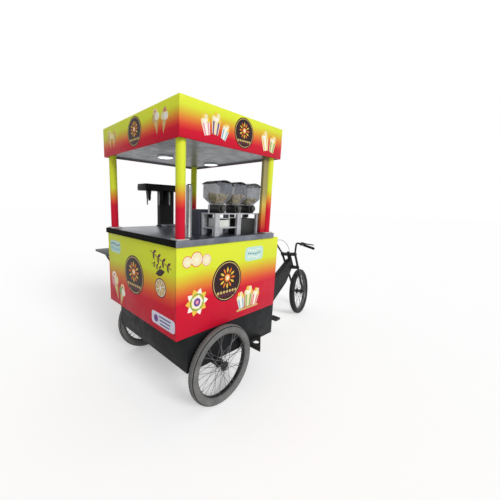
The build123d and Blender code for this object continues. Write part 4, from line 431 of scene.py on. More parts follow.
# Finishes by slot, in tones as a screen shows them; each is made when a piece first asks for it
FINISH_MAKERS = {
    "tyre": lambda: tyre_rubber("dusty_tyre_rubber", (40, 40, 41), (132, 131, 130), 0.70),
    # Groove rubber: darker and less dusty, partly painted shade in the groove
    "groove": lambda: tyre_rubber("groove_shade_rubber", (14, 14, 14), (40, 39, 38), 0.30),
    "front_tyre": lambda: tyre_rubber("front_tyre_rubber", (14, 14, 15), (88, 87, 86), 0.22),
    "rim_rear": coat("dull_dark_rim", (26, 26, 28), (44, 43, 46), 0.40, 0.58, Specular_IOR_Level=0.3),
    "rim_front": coat("grey_rim", (104, 104, 108), (78, 78, 82), 0.32, 0.5, Metallic=0.6),
    "spoke": coat("spoke_wire", (128, 128, 132), (88, 87, 89), 0.35, 0.5, 40.0, Metallic=0.4),
    "hub": coat("cast_hub", (26, 26, 28), (50, 49, 51), 0.36, 0.55, 30.0, Specular_IOR_Level=0.4),
    "steel": lambda: brushed_steel("turned_steel", (150, 152, 152), (120, 124, 124), (1, 1, 14)),
    "frame_paint": coat("frame_paint", (17, 17, 18), (28, 28, 29), 0.42, 0.6, 10.0, bump=0.12,
                        dirt=(66, 62, 58), dirt_top=0.30, Specular_IOR_Level=0.2),
    "fork_paint": coat("fork_paint", (20, 20, 21), (40, 40, 40), 0.38, 0.55, 22.0, bump=0.12,
                       dirt=(78, 74, 70), dirt_top=0.35, Specular_IOR_Level=0.3),
    "skirt": coat("skirt_paint", (16, 17, 19), (25, 27, 29), 0.45, 0.62, 5.0, bump=0.10, bump_scale=120.0,
                  dirt=(60, 58, 55), dirt_top=0.45, Specular_IOR_Level=0.15),
    "step_paint": coat("step_paint", (28, 29, 29), (48, 48, 47), 0.45, 0.6, 18.0, bump=0.15,
                       dirt=(84, 80, 76), dirt_top=0.45, Specular_IOR_Level=0.25),
    "board": lambda: sealed_board("sealed_board"),
    "wrap_side": lambda: wrap_film("side_wrap", CABINET_BAND, 0.838, 1.040, (0.015, 0.0)),
    "wrap_rear": lambda: wrap_film("rear_wrap", CABINET_BAND, 0.765, 0.995, (0.0, -0.08)),
    "post_wrap": lambda: wrap_film("post_wrap", POST_BAND, 1.425, 1.575),
    "fascia_wrap": lambda: wrap_film("fascia_side_wrap", FASCIA_BAND, 1.862, 1.990, (0.022, 0.0)),
    "fascia_end_wrap": lambda: wrap_film("fascia_end_wrap", FASCIA_BAND, 1.858, 1.968, (0.0, -0.020)),
    "counter_steel": lambda: brushed_steel("counter_steel", (134, 137, 146), (106, 109, 118),
                                           (1.0, 16, 16), 0.26, 0.42),
    "ceiling": coat("ceiling_sheet", (84, 87, 97), (108, 111, 122), 0.26, 0.42, 4.0, Specular_IOR_Level=0.4),
    "lamp": lambda: lamp_diffuser("lamp_diffuser"),
    "trunking": lambda: trunking_film_shaded_top("trunking_film_shaded_top"),
    "flange": coat("flange_paint", (196, 196, 192), (164, 164, 160), 0.35, 0.5, 30.0, bump=0.08,
                   Specular_IOR_Level=0.3),
    "chrome": coat("bar_paint", (30, 30, 31), (54, 54, 56), 0.26, 0.42, 26.0, Metallic=0.3),
    "grip": coat("grip_rubber", (22, 22, 22), (38, 37, 36), 0.6, 0.8, 60.0, bump=0.3,
                 Specular_IOR_Level=0.25),
    "lever": coat("lever_paint", (30, 30, 31), (72, 72, 74), 0.3, 0.5, 50.0, Metallic=0.3),
    "saddle": lambda: saddle_leather("saddle_leather"),
    "crank": coat("crank_alloy", (116, 117, 120), (80, 80, 84), 0.3, 0.5, 30.0, Metallic=0.8),
    "pedal": coat("pedal_plastic", (26, 26, 27), (46, 46, 46), 0.5, 0.7, 40.0, bump=0.3),
    "chain": coat("oiled_chain", (84, 76, 68), (48, 42, 38), 0.35, 0.6, 90.0, Metallic=0.8),
    "dispenser": coat("dispenser_paint", (10, 11, 11), (20, 18, 19), 0.34, 0.5, 12.0, bump=0.08,
                      Specular_IOR_Level=0.14),
    "nozzle": coat("nozzle_plastic", (9, 9, 9), (20, 20, 20), 0.34, 0.52, 40.0, Specular_IOR_Level=0.14),
    "dark_plastic": coat("dark_plastic", (54, 56, 66), (72, 74, 85), 0.32, 0.5, 12.0, bump=0.08,
                         Specular_IOR_Level=0.3),
    "rack": coat("rack_silver", (192, 193, 197), (160, 161, 166), 0.36, 0.52, 22.0, Metallic=0.15,
                 bump=0.08),
    # The pale tone is painted highlight, laid on in vertical streaks
    "clear": lambda: smoked_clear("hopper_clear", (78, 82, 92), (178, 182, 192), 0.16, 0.38),
    "cover": coat("smoked_cover", (34, 35, 38), (58, 60, 64), 0.22, 0.36, 16.0, bump=0.06),
    "valve": coat("valve_plastic", (17, 17, 18), (34, 33, 31), 0.35, 0.55, 40.0),
    "knob": coat("knob_plastic", (72, 71, 68), (50, 49, 46), 0.35, 0.5, 60.0, bump=0.15),
    "box_plastic": coat("white_box_plastic", (220, 226, 224), (200, 208, 206), 0.4, 0.55, 12.0, bump=0.1),
    "cable": coat("cable_sleeve", (20, 20, 20), (38, 38, 38), 0.4, 0.6, 80.0, bump=0.2),
    "cereal": lambda: cereal("puffed_cereal"),
    "side_box": coat("side_box_plastic", (18, 20, 20), (28, 29, 28), 0.45, 0.6, 14.0, bump=0.1),
    # Near black: painted shade and dark reflection on the counter's rear edge
    "rear_edge_shade": coat("rear_edge_shade_strip", (10, 10, 10), (22, 22, 20), 0.65, 0.8, 20.0, bump=0.1,
                   Specular_IOR_Level=0.05),
    "napkin": coat("napkin_paper", (236, 236, 232), (220, 220, 214), 0.8, 0.95, 30.0, bump=0.3),
    "bolt": coat("bolt_steel", (186, 186, 184), (140, 138, 132), 0.25, 0.5, 70.0, Metallic=0.9),
}
FINISHES = {}


def finish_named(slot):
    """Gives the material of a slot."""
    if slot not in FINISHES:
        FINISHES[slot] = FINISH_MAKERS[slot]()
    return FINISHES[slot]


# Meshes

SHARP_ANGLE = 38


def link_object(name, mesh):
    obj = bpy.data.objects.new(name, mesh)
    bpy.context.scene.collection.objects.link(obj)
    return obj


def piece_from(name, bm, *finishes, angle=SHARP_ANGLE):
    """Makes an object of a finished bmesh, smooth but for edges sharper than the angle."""
    bmesh.ops.recalc_face_normals(bm, faces=bm.faces)
    mesh = bpy.data.meshes.new(name)
    bm.to_mesh(mesh)
    bm.free()
    for finish in finishes:
        mesh.materials.append(finish_named(finish) if isinstance(finish, str) else finish)
    mesh.shade_smooth()
    mesh.set_sharp_from_angle(angle=radians(angle))
    return link_object(name, mesh)


def settle(obj, body, slot, *replaced):
    """Seats a finished piece on its body and hides the nodes that it stands for. The slot is not used."""
    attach(obj, body)
    if replaced:
        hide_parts(*replaced)
    return obj


def shown_mesh(obj):
    """The shape that an object shows, as a plain mesh."""
    bpy.context.view_layer.update()
    return bpy.data.meshes.new_from_object(obj.evaluated_get(bpy.context.evaluated_depsgraph_get()))


def baked(obj):
    """Turns the shape that an object's modifiers give into its own mesh."""
    shape = shown_mesh(obj)
    obj.modifiers.clear()
    obj.data = shape
    return obj


def dress(node, bevel, finish=None):
    """Stands a merged copy of a node in for it, with its edges rounded over and its curves smooth."""
    bm = bmesh.new()
    bm.from_mesh(NODES[node].data)
    bmesh.ops.remove_doubles(bm, verts=bm.verts, dist=2e-6)
    bmesh.ops.dissolve_limit(bm, angle_limit=radians(0.6), verts=bm.verts, edges=bm.edges)
    obj = piece_from(f"{node}_skin", bm, finish or SLOT_OF[node])
    if bevel:
        edge = obj.modifiers.new("edge", "BEVEL")
        edge.width = bevel
        edge.segments = 2
        edge.limit_method = "ANGLE"
        edge.angle_limit = radians(32)
        edge.miter_outer = "MITER_ARC"
        edge.use_clamp_overlap = True
        baked(obj)
        obj.data.shade_smooth()
        obj.data.set_sharp_from_angle(angle=radians(SHARP_ANGLE))
    return settle(obj, BODY_OF[node], SLOT_OF[node], node)


def dress_all(**bevels):
    """Dresses nodes in turn, each with its own bevel."""
    for node, bevel in bevels.items():
        dress(node, bevel)


def wheel_matrix(centre, axle):
    """Gives the frame of a wheel: Y along its axle, Z up as far as the axle allows."""
    y = Vector(axle).normalized()
    x = y.cross(Vector((0, 0, 1))).normalized()
    z = x.cross(y)
    place = Matrix((x, y, z)).transposed().to_4x4()
    place.translation = centre
    return place


def bridge_loops(bm, loops, cap=True):
    """Joins rings of vertices one after the other, with a face at each end if asked."""
    for one, two in zip(loops, loops[1:]):
        count = len(one)
        for i in range(count):
            j = (i + 1) % count
            bm.faces.new((one[i], one[j], two[j], two[i]))
    if cap:
        bm.faces.new(list(reversed(loops[0])))
        bm.faces.new(loops[-1])


def turned_loops(bm, points, place, steps):
    """Copies of a row of (radius, offset) points at equal steps round the wheel's axle."""
    loops = []
    for k in range(steps):
        angle = tau * k / steps
        loops.append([bm.verts.new(place @ Vector((radius * sin(angle), offset, radius * cos(angle))))
                      for radius, offset in points])
    return loops


def spin_section(bm, section, place, steps):
    """Turns a closed section of (radius, offset) points about the wheel's axle."""
    loops = turned_loops(bm, section, place, steps)
    bridge_loops(bm, loops + loops[:1], cap=False)


def spin_profile(bm, profile, place, steps):
    """Turns an open profile that starts and ends on the axle into a closed solid."""
    ends = [bm.verts.new(place @ Vector((0, offset, 0))) for offset in (profile[0][1], profile[-1][1])]
    loops = turned_loops(bm, profile, place, steps)
    for one, two in zip(loops, loops[1:] + loops[:1]):
        for i in range(len(profile) - 1):
            bm.faces.new((one[i], one[i + 1], two[i + 1], two[i]))
        bm.faces.new((ends[0], one[0], two[0]))
        bm.faces.new((ends[1], two[-1], one[-1]))


def oval_loop(bm, x, y, z, half_x, half_y, sides):
    """A level oval ring of vertices."""
    return [bm.verts.new((x + half_x * cos(tau * k / sides), y + half_y * sin(tau * k / sides), z))
            for k in range(sides)]


def rounded_outline(width, depth, radius, steps):
    """A rectangle's outline about the origin, each of its round corners in as many steps."""
    outline = []
    for k, (sx, sy) in enumerate(((1, 1), (-1, 1), (-1, -1), (1, -1))):
        for step in range(steps + 1):
            angle = pi / 2 * (k + step / steps)
            outline.append((sx * (width / 2 - radius) + radius * cos(angle),
                            sy * (depth / 2 - radius) + radius * sin(angle)))
    return outline


def box_mesh(bm, low, high):
    """Adds a closed block between two corners."""
    corners = [bm.verts.new((x, y, z)) for x in (low[0], high[0]) for y in (low[1], high[1])
               for z in (low[2], high[2])]
    for face in ((0, 1, 3, 2), (4, 6, 7, 5), (0, 4, 5, 1), (2, 3, 7, 6), (0, 2, 6, 4), (1, 5, 7, 3)):
        bm.faces.new([corners[i] for i in face])


# Geometry trees for what repeats

def geometry_tree(name, inputs):
    """Gives a tree whose first input is the base geometry, and the identifiers of its named inputs."""
    tree = bpy.data.node_groups.new(name, "GeometryNodeTree")
    face = tree.interface
    face.new_socket("Geometry", in_out="INPUT", socket_type="NodeSocketGeometry")
    named = {}
    for label, kind in inputs:
        named[label] = face.new_socket(label, in_out="INPUT", socket_type=f"NodeSocket{kind}").identifier
    face.new_socket("Geometry", in_out="OUTPUT", socket_type="NodeSocketGeometry")
    entry = tree.nodes.new("NodeGroupInput")
    leave = tree.nodes.new("NodeGroupOutput")
    return tree, entry.outputs, leave.inputs[0], named


def grow(name, base, tree, named, values):
    """Runs a geometry tree on a base mesh and gives the result as a plain object."""
    obj = link_object(name, base)
    modifier = obj.modifiers.new("grow", "NODES")
    modifier.node_group = tree
    for label, value in values.items():
        modifier[named[label]] = value
    return baked(obj)


def wheel_point(tree, angle, radius, offset):
    """A point on a wheel in its own frame: the radius out at the angle, the offset along the axle."""
    across = math(tree, "MULTIPLY", math(tree, "SINE", angle), radius)
    above = math(tree, "MULTIPLY", math(tree, "COSINE", angle), radius)
    return feed(tree, "ShaderNodeCombineXYZ", {0: across, 1: offset, 2: above})


def set_and_close(tree, geometry, finish, leave):
    """Realizes the instances, sets their material and hands them out."""
    real = feed(tree, "GeometryNodeRealizeInstances", {0: geometry})
    done = feed(tree, "GeometryNodeSetMaterial", {0: real, "Material": finish})
    tree.links.new(done, leave)


def tread_tree():
    """Blocks round a tyre's shoulder: a row of small bricks that lean one way."""
    tree, entry, leave, named = geometry_tree("tread_blocks", (
        ("Count", "Int"), ("Radius", "Float"), ("Offset", "Float"), ("Phase", "Float"), ("Size", "Vector"),
        ("Lean", "Float"), ("Tip", "Float"), ("Finish", "Material"),
    ))
    points = feed(tree, "GeometryNodePoints", {"Count": entry["Count"]})
    index = tree.nodes.new("GeometryNodeInputIndex").outputs[0]
    turn = math(tree, "MULTIPLY", math(tree, "ADD", index, entry["Phase"]),
                math(tree, "DIVIDE", tau, entry["Count"]))
    spot = wheel_point(tree, turn, entry["Radius"], entry["Offset"])
    placed = feed(tree, "GeometryNodeSetPosition", {0: points, "Position": spot})
    brick = feed(tree, "GeometryNodeMeshCube", {"Size": entry["Size"]})
    turned = feed(tree, "ShaderNodeCombineXYZ", {0: entry["Tip"], 2: entry["Lean"]})
    leaning = feed(tree, "GeometryNodeTransform", {0: brick, "Rotation": turned})
    spin = feed(tree, "ShaderNodeCombineXYZ", {1: turn})
    row = feed(tree, "GeometryNodeInstanceOnPoints",
               {"Points": placed, "Instance": leaning, "Rotation": spin})
    set_and_close(tree, row, entry["Finish"], leave)
    return tree, named


def spoke_tree():
    """One side's spokes of one lean: wires from the hub's flange to the rim, with a nipple on each."""
    tree, entry, leave, named = geometry_tree("laced_spokes", (
        ("Count", "Int"), ("Hub Radius", "Float"), ("Rim Radius", "Float"), ("Hub Offset", "Float"),
        ("Rim Offset", "Float"), ("Phase", "Float"), ("Lacing", "Float"), ("Wire Radius", "Float"),
        ("Finish", "Material"),
    ))
    points = feed(tree, "GeometryNodePoints", {"Count": entry["Count"]})
    index = tree.nodes.new("GeometryNodeInputIndex").outputs[0]
    foot_turn = math(tree, "ADD", math(tree, "MULTIPLY", index, math(tree, "DIVIDE", tau, entry["Count"])),
                     entry["Phase"])
    head_turn = math(tree, "ADD", foot_turn, entry["Lacing"])
    foot = wheel_point(tree, foot_turn, entry["Hub Radius"], entry["Hub Offset"])
    head = wheel_point(tree, head_turn, entry["Rim Radius"], entry["Rim Offset"])
    run = feed(tree, "ShaderNodeVectorMath", {0: head, 1: foot}, operation="SUBTRACT")
    length = wire(tree, "ShaderNodeVectorMath", {0: run}, operation="LENGTH").outputs["Value"]
    placed = feed(tree, "GeometryNodeSetPosition", {0: points, "Position": foot})
    rod = feed(tree, "GeometryNodeMeshCylinder",
               {"Vertices": 8, "Radius": entry["Wire Radius"], "Depth": 1.0})
    stood = feed(tree, "GeometryNodeTransform", {0: rod, "Translation": (0, 0, 0.5)})
    aim = feed(tree, "FunctionNodeAlignRotationToVector", {"Vector": run}, axis="Z")
    size = feed(tree, "ShaderNodeCombineXYZ", {0: 1.0, 1: 1.0, 2: length})
    wires = feed(tree, "GeometryNodeInstanceOnPoints",
                 {"Points": placed, "Instance": stood, "Rotation": aim, "Scale": size})
    nipple = feed(tree, "GeometryNodeMeshCylinder",
                  {"Vertices": 10, "Radius": 0.0024, "Depth": 0.013})
    sunk = feed(tree, "GeometryNodeTransform", {0: nipple, "Translation": (0, 0, -0.0062)})
    at_rim = feed(tree, "GeometryNodeSetPosition", {0: points, "Position": head})
    nipples = feed(tree, "GeometryNodeInstanceOnPoints",
                   {"Points": at_rim, "Instance": sunk, "Rotation": aim})
    both = tree.nodes.new("GeometryNodeJoinGeometry")
    tree.links.new(wires, both.inputs[0])
    tree.links.new(nipples, both.inputs[0])
    set_and_close(tree, both.outputs[0], entry["Finish"], leave)
    return tree, named


def rivet_tree():
    """A domed head on each point of the base, turned to the point's own normal."""
    tree, entry, leave, named = geometry_tree("rivet_heads", (
        ("Radius", "Float"), ("Height", "Float"), ("Sides", "Int"), ("Finish", "Material"),
    ))
    head = feed(tree, "GeometryNodeMeshUVSphere",
                {"Segments": entry["Sides"], "Rings": 6, "Radius": entry["Radius"]})
    flat = feed(tree, "ShaderNodeCombineXYZ", {0: 1.0, 1: 1.0, 2: entry["Height"]})
    dome = feed(tree, "GeometryNodeTransform", {0: head, "Scale": flat})
    normal = feed(tree, "GeometryNodeInputNamedAttribute", {"Name": "facing"},
                  data_type="FLOAT_VECTOR")
    aim = feed(tree, "FunctionNodeAlignRotationToVector", {"Vector": normal}, axis="Z")
    heads = feed(tree, "GeometryNodeInstanceOnPoints",
                 {"Points": entry["Geometry"], "Instance": dome, "Rotation": aim})
    set_and_close(tree, heads, entry["Finish"], leave)
    return tree, named


def heap_tree():
    """A heap of puffed pieces in a box that narrows downwards, each with its own turn, size and tint."""
    tree, entry, leave, named = geometry_tree("heaped_pieces", (
        ("Count", "Int"), ("Low", "Vector"), ("High", "Vector"), ("Narrowing", "Float"), ("Piece", "Float"),
        ("Seed", "Int"), ("Finish", "Material"),
    ))
    points = feed(tree, "GeometryNodePoints", {"Count": entry["Count"]})
    spread = feed(tree, "FunctionNodeRandomValue", {0: (-1, -1, 0), 1: (1, 1, 1), "Seed": entry["Seed"]},
                  data_type="FLOAT_VECTOR")
    share = wire(tree, "ShaderNodeSeparateXYZ", {0: spread}).outputs
    width = wire(tree, "ShaderNodeMapRange", {"Value": share[2], "To Min": entry["Narrowing"], "To Max": 1.0})
    ends = {0: entry["High"], 1: entry["Low"]}
    spans = feed(tree, "ShaderNodeVectorMath", ends, operation="SUBTRACT")
    sums = feed(tree, "ShaderNodeVectorMath", ends, operation="ADD")
    span, total, low = (wire(tree, "ShaderNodeSeparateXYZ", {0: vector}).outputs
                        for vector in (spans, sums, entry["Low"]))
    place = []
    for k in range(2):
        reach = math(tree, "MULTIPLY", math(tree, "MULTIPLY", span[k], 0.5), width.outputs[0])
        place.append(math(tree, "ADD", math(tree, "MULTIPLY", total[k], 0.5),
                          math(tree, "MULTIPLY", share[k], reach)))
    place.append(math(tree, "ADD", low[2], math(tree, "MULTIPLY", share[2], span[2])))
    spot = feed(tree, "ShaderNodeCombineXYZ", {k: place[k] for k in range(3)})
    placed = feed(tree, "GeometryNodeSetPosition", {0: points, "Position": spot})
    puff = feed(tree, "GeometryNodeMeshIcoSphere", {"Radius": entry["Piece"], "Subdivisions": 2})
    turn = feed(tree, "FunctionNodeRandomValue",
                {1: (tau, tau, tau), "Seed": math(tree, "ADD", entry["Seed"], 1)},
                data_type="FLOAT_VECTOR")
    size = feed(tree, "FunctionNodeRandomValue",
                {0: (0.7, 0.6, 0.5), 1: (1.15, 1.0, 0.9), "Seed": math(tree, "ADD", entry["Seed"], 2)},
                data_type="FLOAT_VECTOR")
    heap = feed(tree, "GeometryNodeInstanceOnPoints",
                {"Points": placed, "Instance": puff, "Rotation": turn, "Scale": size})
    tint = wire(tree, "FunctionNodeRandomValue", {"Seed": math(tree, "ADD", entry["Seed"], 3)},
                data_type="FLOAT").outputs[1]
    kept = feed(tree, "GeometryNodeStoreNamedAttribute", {0: heap, "Name": "tint", "Value": tint},
                data_type="FLOAT", domain="INSTANCE")
    set_and_close(tree, kept, entry["Finish"], leave)
    return tree, named


def bar_tree():
    """A row of equal bars, as in a grille."""
    tree, entry, leave, named = geometry_tree("bar_row", (
        ("Count", "Int"), ("Start", "Vector"), ("Step", "Vector"), ("Size", "Vector"),
        ("Finish", "Material"),
    ))
    line = feed(tree, "GeometryNodeMeshLine", {
        "Count": entry["Count"], "Start Location": entry["Start"], "Offset": entry["Step"],
    })
    bar = feed(tree, "GeometryNodeMeshCube", {"Size": entry["Size"]})
    row = feed(tree, "GeometryNodeInstanceOnPoints", {"Points": line, "Instance": bar})
    set_and_close(tree, row, entry["Finish"], leave)
    return tree, named


def empty_mesh(name):
    return bpy.data.meshes.new(name)


def heads_at(name, places, radius, height, finish, body, slot, sides=12):
    """Rivet or bolt heads at (place, facing) pairs, as one piece."""
    base = empty_mesh(name)
    base.from_pydata([tuple(place) for place, _ in places], [], [])
    facing = base.attributes.new("facing", "FLOAT_VECTOR", "POINT")
    for k, (_, direction) in enumerate(places):
        facing.data[k].vector = direction
    tree, named = rivet_tree()
    obj = grow(name, base, tree, named,
               {"Radius": radius, "Height": height, "Sides": sides, "Finish": finish_named(finish)})
    obj.data.shade_smooth()
    return settle(obj, body, slot)


# Settings that a user would change

class CartWrap(bpy.types.PropertyGroup):
    lime: FloatVectorProperty(
        name="Lime", description="Upper colour of the printed film", subtype="COLOR",
        default=linear(214, 224, 56)[:3], min=0.0, max=1.0)
    amber: FloatVectorProperty(
        name="Amber", description="Colour between the lime and the crimson", subtype="COLOR",
        default=linear(221, 134, 52)[:3], min=0.0, max=1.0)
    crimson: FloatVectorProperty(
        name="Crimson", description="Lower colour of the printed film", subtype="COLOR",
        default=linear(206, 24, 50)[:3], min=0.0, max=1.0)
    gloss: FloatProperty(
        name="Film Roughness", description="Lowest roughness of the printed film", default=0.40, min=0.0,
        max=1.0, subtype="FACTOR")
    ink_step: FloatProperty(
        name="Ink Step", description="Thickness of one layer of a printed motif", default=0.0005, min=0.0001,
        unit="LENGTH")


class CartWheels(bpy.types.PropertyGroup):
    tread_count: IntProperty(
        name="Tread Blocks", description="Blocks in each row round a tyre", default=84, min=12, max=160)
    tread_size: FloatVectorProperty(
        name="Block Size", description="Length round the tyre, width and height of a tread block",
        default=(0.0155, 0.0105, 0.0042), size=3, subtype="XYZ", unit="LENGTH")
    spokes_a_row: IntProperty(
        name="Spokes in a Row", description="Spokes of one side and one lean", default=9, min=4, max=12)
    round_steps: IntProperty(
        name="Steps Round", description="Steps round a tyre or a rim", default=144, min=48, max=240)


class CartStore(bpy.types.PropertyGroup):
    pieces: IntProperty(
        name="Pieces", description="Puffed pieces in a full hopper", default=560, min=20, max=600)
    piece_radius: FloatProperty(
        name="Piece Radius", description="Size of one puffed piece", default=0.0100, min=0.003, max=0.015,
        unit="LENGTH")
    fill_height: FloatProperty(
        name="Fill Height", description="How far the hopper is filled above its mouth", default=0.066,
        min=0.02, max=0.13, unit="LENGTH")
    seed: IntProperty(
        name="Seed", description="Seed of the heap's random places", default=11, min=0)


class CartStudio(bpy.types.PropertyGroup):
    ambient: FloatProperty(
        name="Ambient", description="Light that the surroundings give", default=0.42, min=0.0, max=2.0)
    sun: FloatProperty(
        name="Key Light", description="Strength of the soft light from the cart's right", default=2.05,
        min=0.0, max=10.0)
    floor_lift: FloatProperty(
        name="Floor Lift", description="How much paler the camera sees the floor", default=0.34, min=0.0,
        max=1.0)


# Printed motifs, drawn as thin layers of ink on a face

def face_place(origin, right, up):
    """Gives the frame of a flat face: X to the right as it is read, Y up, Z out of it."""
    right, up = Vector(right), Vector(up)
    place = Matrix((right, up, right.cross(up))).transposed().to_4x4()
    place.translation = origin
    return place


def spread_at(u, v, angle, points, size=1.0):
    """Points scaled, turned by an angle and moved to (u, v)."""
    c, s = size * cos(angle), size * sin(angle)
    return [(u + x * c - y * s, v + x * s + y * c) for x, y in points]


class Motif:
    """A stack of thin printed layers on one face. Each layer keeps its own ink."""

    def __init__(self, name, place):
        self.name = name
        self.place = place
        self.bm = bmesh.new()
        self.inks = []
        self.step = bpy.context.scene.cart_wrap.ink_step
        self.lift = 0.0

    def next_print(self):
        """Raises what is printed from here on, so that motifs that overlap never share a plane."""
        self.lift += MOTIF_LIFT

    def ink(self, key):
        if key not in self.inks:
            self.inks.append(key)
        return self.inks.index(key)

    def plate(self, outline, ink, level):
        """A closed plate of an outline, from the face up to its level."""
        number = self.ink(ink)
        loops = []
        for height in (INK_FOOT, self.step * (level + self.lift)):
            loops.append([self.bm.verts.new(self.place @ Vector((u, v, height))) for u, v in outline])
        count = len(outline)
        faces = [self.bm.faces.new(loops[1]), self.bm.faces.new(list(reversed(loops[0])))]
        for i in range(count):
            j = (i + 1) % count
            faces.append(self.bm.faces.new((loops[0][i], loops[0][j], loops[1][j], loops[1][i])))
        for face in faces:
            face.material_index = number

    def disc(self, u, v, radius, ink, level, sides=40):
        self.plate([(u + radius * cos(tau * k / sides), v + radius * sin(tau * k / sides))
                    for k in range(sides)], ink, level)

    def ring(self, u, v, outer, inner, ink, level):
        """A closed band between two circles."""
        sides = 56
        number = self.ink(ink)
        low, high = INK_FOOT, self.step * (level + self.lift)
        rings = []
        for k in range(sides):
            angle = tau * k / sides
            rings.append([self.bm.verts.new(self.place @ Vector((u + r * cos(angle), v + r * sin(angle), h)))
                          for r, h in ((outer, low), (outer, high), (inner, high), (inner, low))])
        for k in range(sides):
            one, two = rings[k], rings[(k + 1) % sides]
            for i in range(4):
                j = (i + 1) % 4
                self.bm.faces.new((one[i], two[i], two[j], one[j])).material_index = number

    def segment(self, u, v, inner, outer, angle, spread, ink, level):
        """A wedge of a slice between two radii, narrower than the spread at its sides."""
        outline = [(u + inner * cos(angle), v + inner * sin(angle))]
        for step in range(7):
            turn = angle + spread * (step / 3 - 1)
            outline.append((u + outer * cos(turn), v + outer * sin(turn)))
        self.plate(outline, ink, level)

    def petal(self, u, v, length, width, angle, ink, level):
        """A leaf from (u, v) outward, pointed at both ends."""
        steps = 8
        side = [(length * k / steps, width / 2 * sin(pi * k / steps)) for k in range(steps + 1)]
        outline = side[:-1] + [(s, -w) for s, w in reversed(side[1:])]
        self.plate(spread_at(u, v, angle, outline), ink, level)

    def slab(self, u, v, width, height, ink, level, angle=0.0, corner=0.3):
        """A rounded rectangle about (u, v), turned by an angle."""
        radius = corner * min(width, height) / 2
        self.plate(spread_at(u, v, angle, rounded_outline(width, height, radius, 5)), ink, level)

    def done(self, body, slot):
        obj = piece_from(self.name, self.bm, *[ink_named(key) for key in self.inks], angle=30)
        return settle(obj, body, slot)


INK_COLOURS = {
    "cocoa": (46, 26, 30), "cream": (238, 226, 178), "pale": (244, 240, 226), "sand": (206, 176, 110),
    "orange": (232, 122, 40), "coral": (226, 96, 78), "leaf": (124, 168, 84), "sky": (128, 186, 206),
    "violet": (112, 74, 148), "pink": (232, 150, 166), "gold": (236, 198, 74), "navy": (66, 84, 136),
    "plum": (98, 44, 60), "lavender": (226, 222, 240), "mist": (190, 224, 214),
}
INKS = {}


def ink_named(key):
    if key not in INKS:
        INKS[key] = print_ink(f"ink_{key}", *INK_COLOURS[key])
    return INKS[key]


def sun_badge(motif, u, v, radius):
    """A dark round badge with a thin cream ring and a rayed sun over two waves."""
    motif.next_print()
    motif.disc(u, v, radius, "cocoa", 1, 64)
    motif.ring(u, v, radius * 0.93, radius * 0.89, "sand", 2)
    core = v + radius * 0.16
    for k in range(12):
        angle = tau * k / 12
        motif.petal(u + radius * 0.24 * cos(angle), core + radius * 0.24 * sin(angle), radius * 0.3,
                    radius * 0.11, angle, "gold" if k % 2 else "orange", 2)
    motif.disc(u, core, radius * 0.2, "orange", 2, 32)
    motif.disc(u, core, radius * 0.12, "cream", 3, 28)
    for row, ink in ((0, "sand"), (1, "plum")):
        for k in range(7 - row):
            place = (k - (6 - row) / 2) * radius * 0.2
            motif.disc(u + place, v - radius * (0.52 + 0.17 * row), radius * 0.075, ink, 2, 20)


def fruit_slice(motif, u, v, radius, rind, flesh):
    """A round citrus slice with its segments."""
    motif.next_print()
    motif.disc(u, v, radius, rind, 1, 48)
    motif.disc(u, v, radius * 0.88, "pale", 2, 44)
    for k in range(8):
        motif.segment(u, v, radius * 0.12, radius * 0.80, tau * k / 8, tau / 16 * 0.82, flesh, 3)


def paper_cone(motif, u, v, size, angle, scoops):
    """A wafer cone with round scoops on it."""
    motif.next_print()
    motif.plate(spread_at(u, v, angle, ((-0.32, 0.1), (0.0, -1.0), (0.32, 0.1)), size), "sand", 1)
    for k in range(3):
        line = ((-0.22 + 0.15 * k, 0.04), (-0.02 + 0.05 * k, -0.6 + 0.16 * k))
        (x0, y0), (x1, y1) = spread_at(u, v, angle, line, size)
        motif.slab((x0 + x1) / 2, (y0 + y1) / 2, size * 0.40, size * 0.022, "cream", 2,
                   atan2(y1 - y0, x1 - x0))
    spots = spread_at(u, v, angle, ((0, 0.62), (-0.2, 0.28), (0.2, 0.28)), size)
    for k, (spot, ink) in enumerate(zip(spots, scoops)):
        motif.disc(*spot, 0.3 * size, ink, 2.3 + 0.3 * k, 28)
    motif.disc(*spread_at(u, v, angle, ((0, 0.68),), size)[0], 0.1 * size, "coral", 3.3, 20)


def party_cup(motif, u, v, size, angle, body, stripe):
    """A tapered cup with stripes and a heap on top."""
    motif.next_print()
    cup = ((-0.5, 0.3), (-0.34, -0.8), (0.34, -0.8), (0.5, 0.3))
    motif.plate(spread_at(u, v, angle, cup, size), body, 1)
    for k in (-1, 1):
        above, below = 0.30 * k, 0.20 * k
        band = ((above - 0.09, 0.3), (below - 0.07, -0.8), (below + 0.07, -0.8), (above + 0.09, 0.3))
        motif.plate(spread_at(u, v, angle, band, size), stripe, 2)
    spots = spread_at(u, v, angle, ((-0.3, 0.42), (0.3, 0.42), (0.0, 0.5), (-0.12, 0.74), (0.16, 0.72)), size)
    inks = ((0.22, "cream"), (0.22, "gold"), (0.28, "pale"), (0.2, "gold"), (0.2, "cream"))
    for k, (spot, (radius, ink)) in enumerate(zip(spots, inks)):
        motif.disc(*spot, radius * size, ink, 2.3 + 0.25 * k, 24)


def flower_ring(motif, u, v, radius):
    """A rosette of pale petals round a violet and pink middle."""
    motif.next_print()
    for k in range(10):
        angle = tau * k / 10
        motif.petal(u + radius * 0.1 * cos(angle), v + radius * 0.1 * sin(angle), radius * 0.9, radius * 0.5,
                    angle, "gold" if k % 2 else "pale", 1 + k % 2)
    motif.ring(u, v, radius * 0.62, radius * 0.52, "leaf", 3)
    motif.disc(u, v, radius * 0.44, "pale", 3, 36)
    motif.disc(u, v, radius * 0.3, "violet", 4, 32)
    motif.disc(u, v, radius * 0.14, "pink", 5, 24)


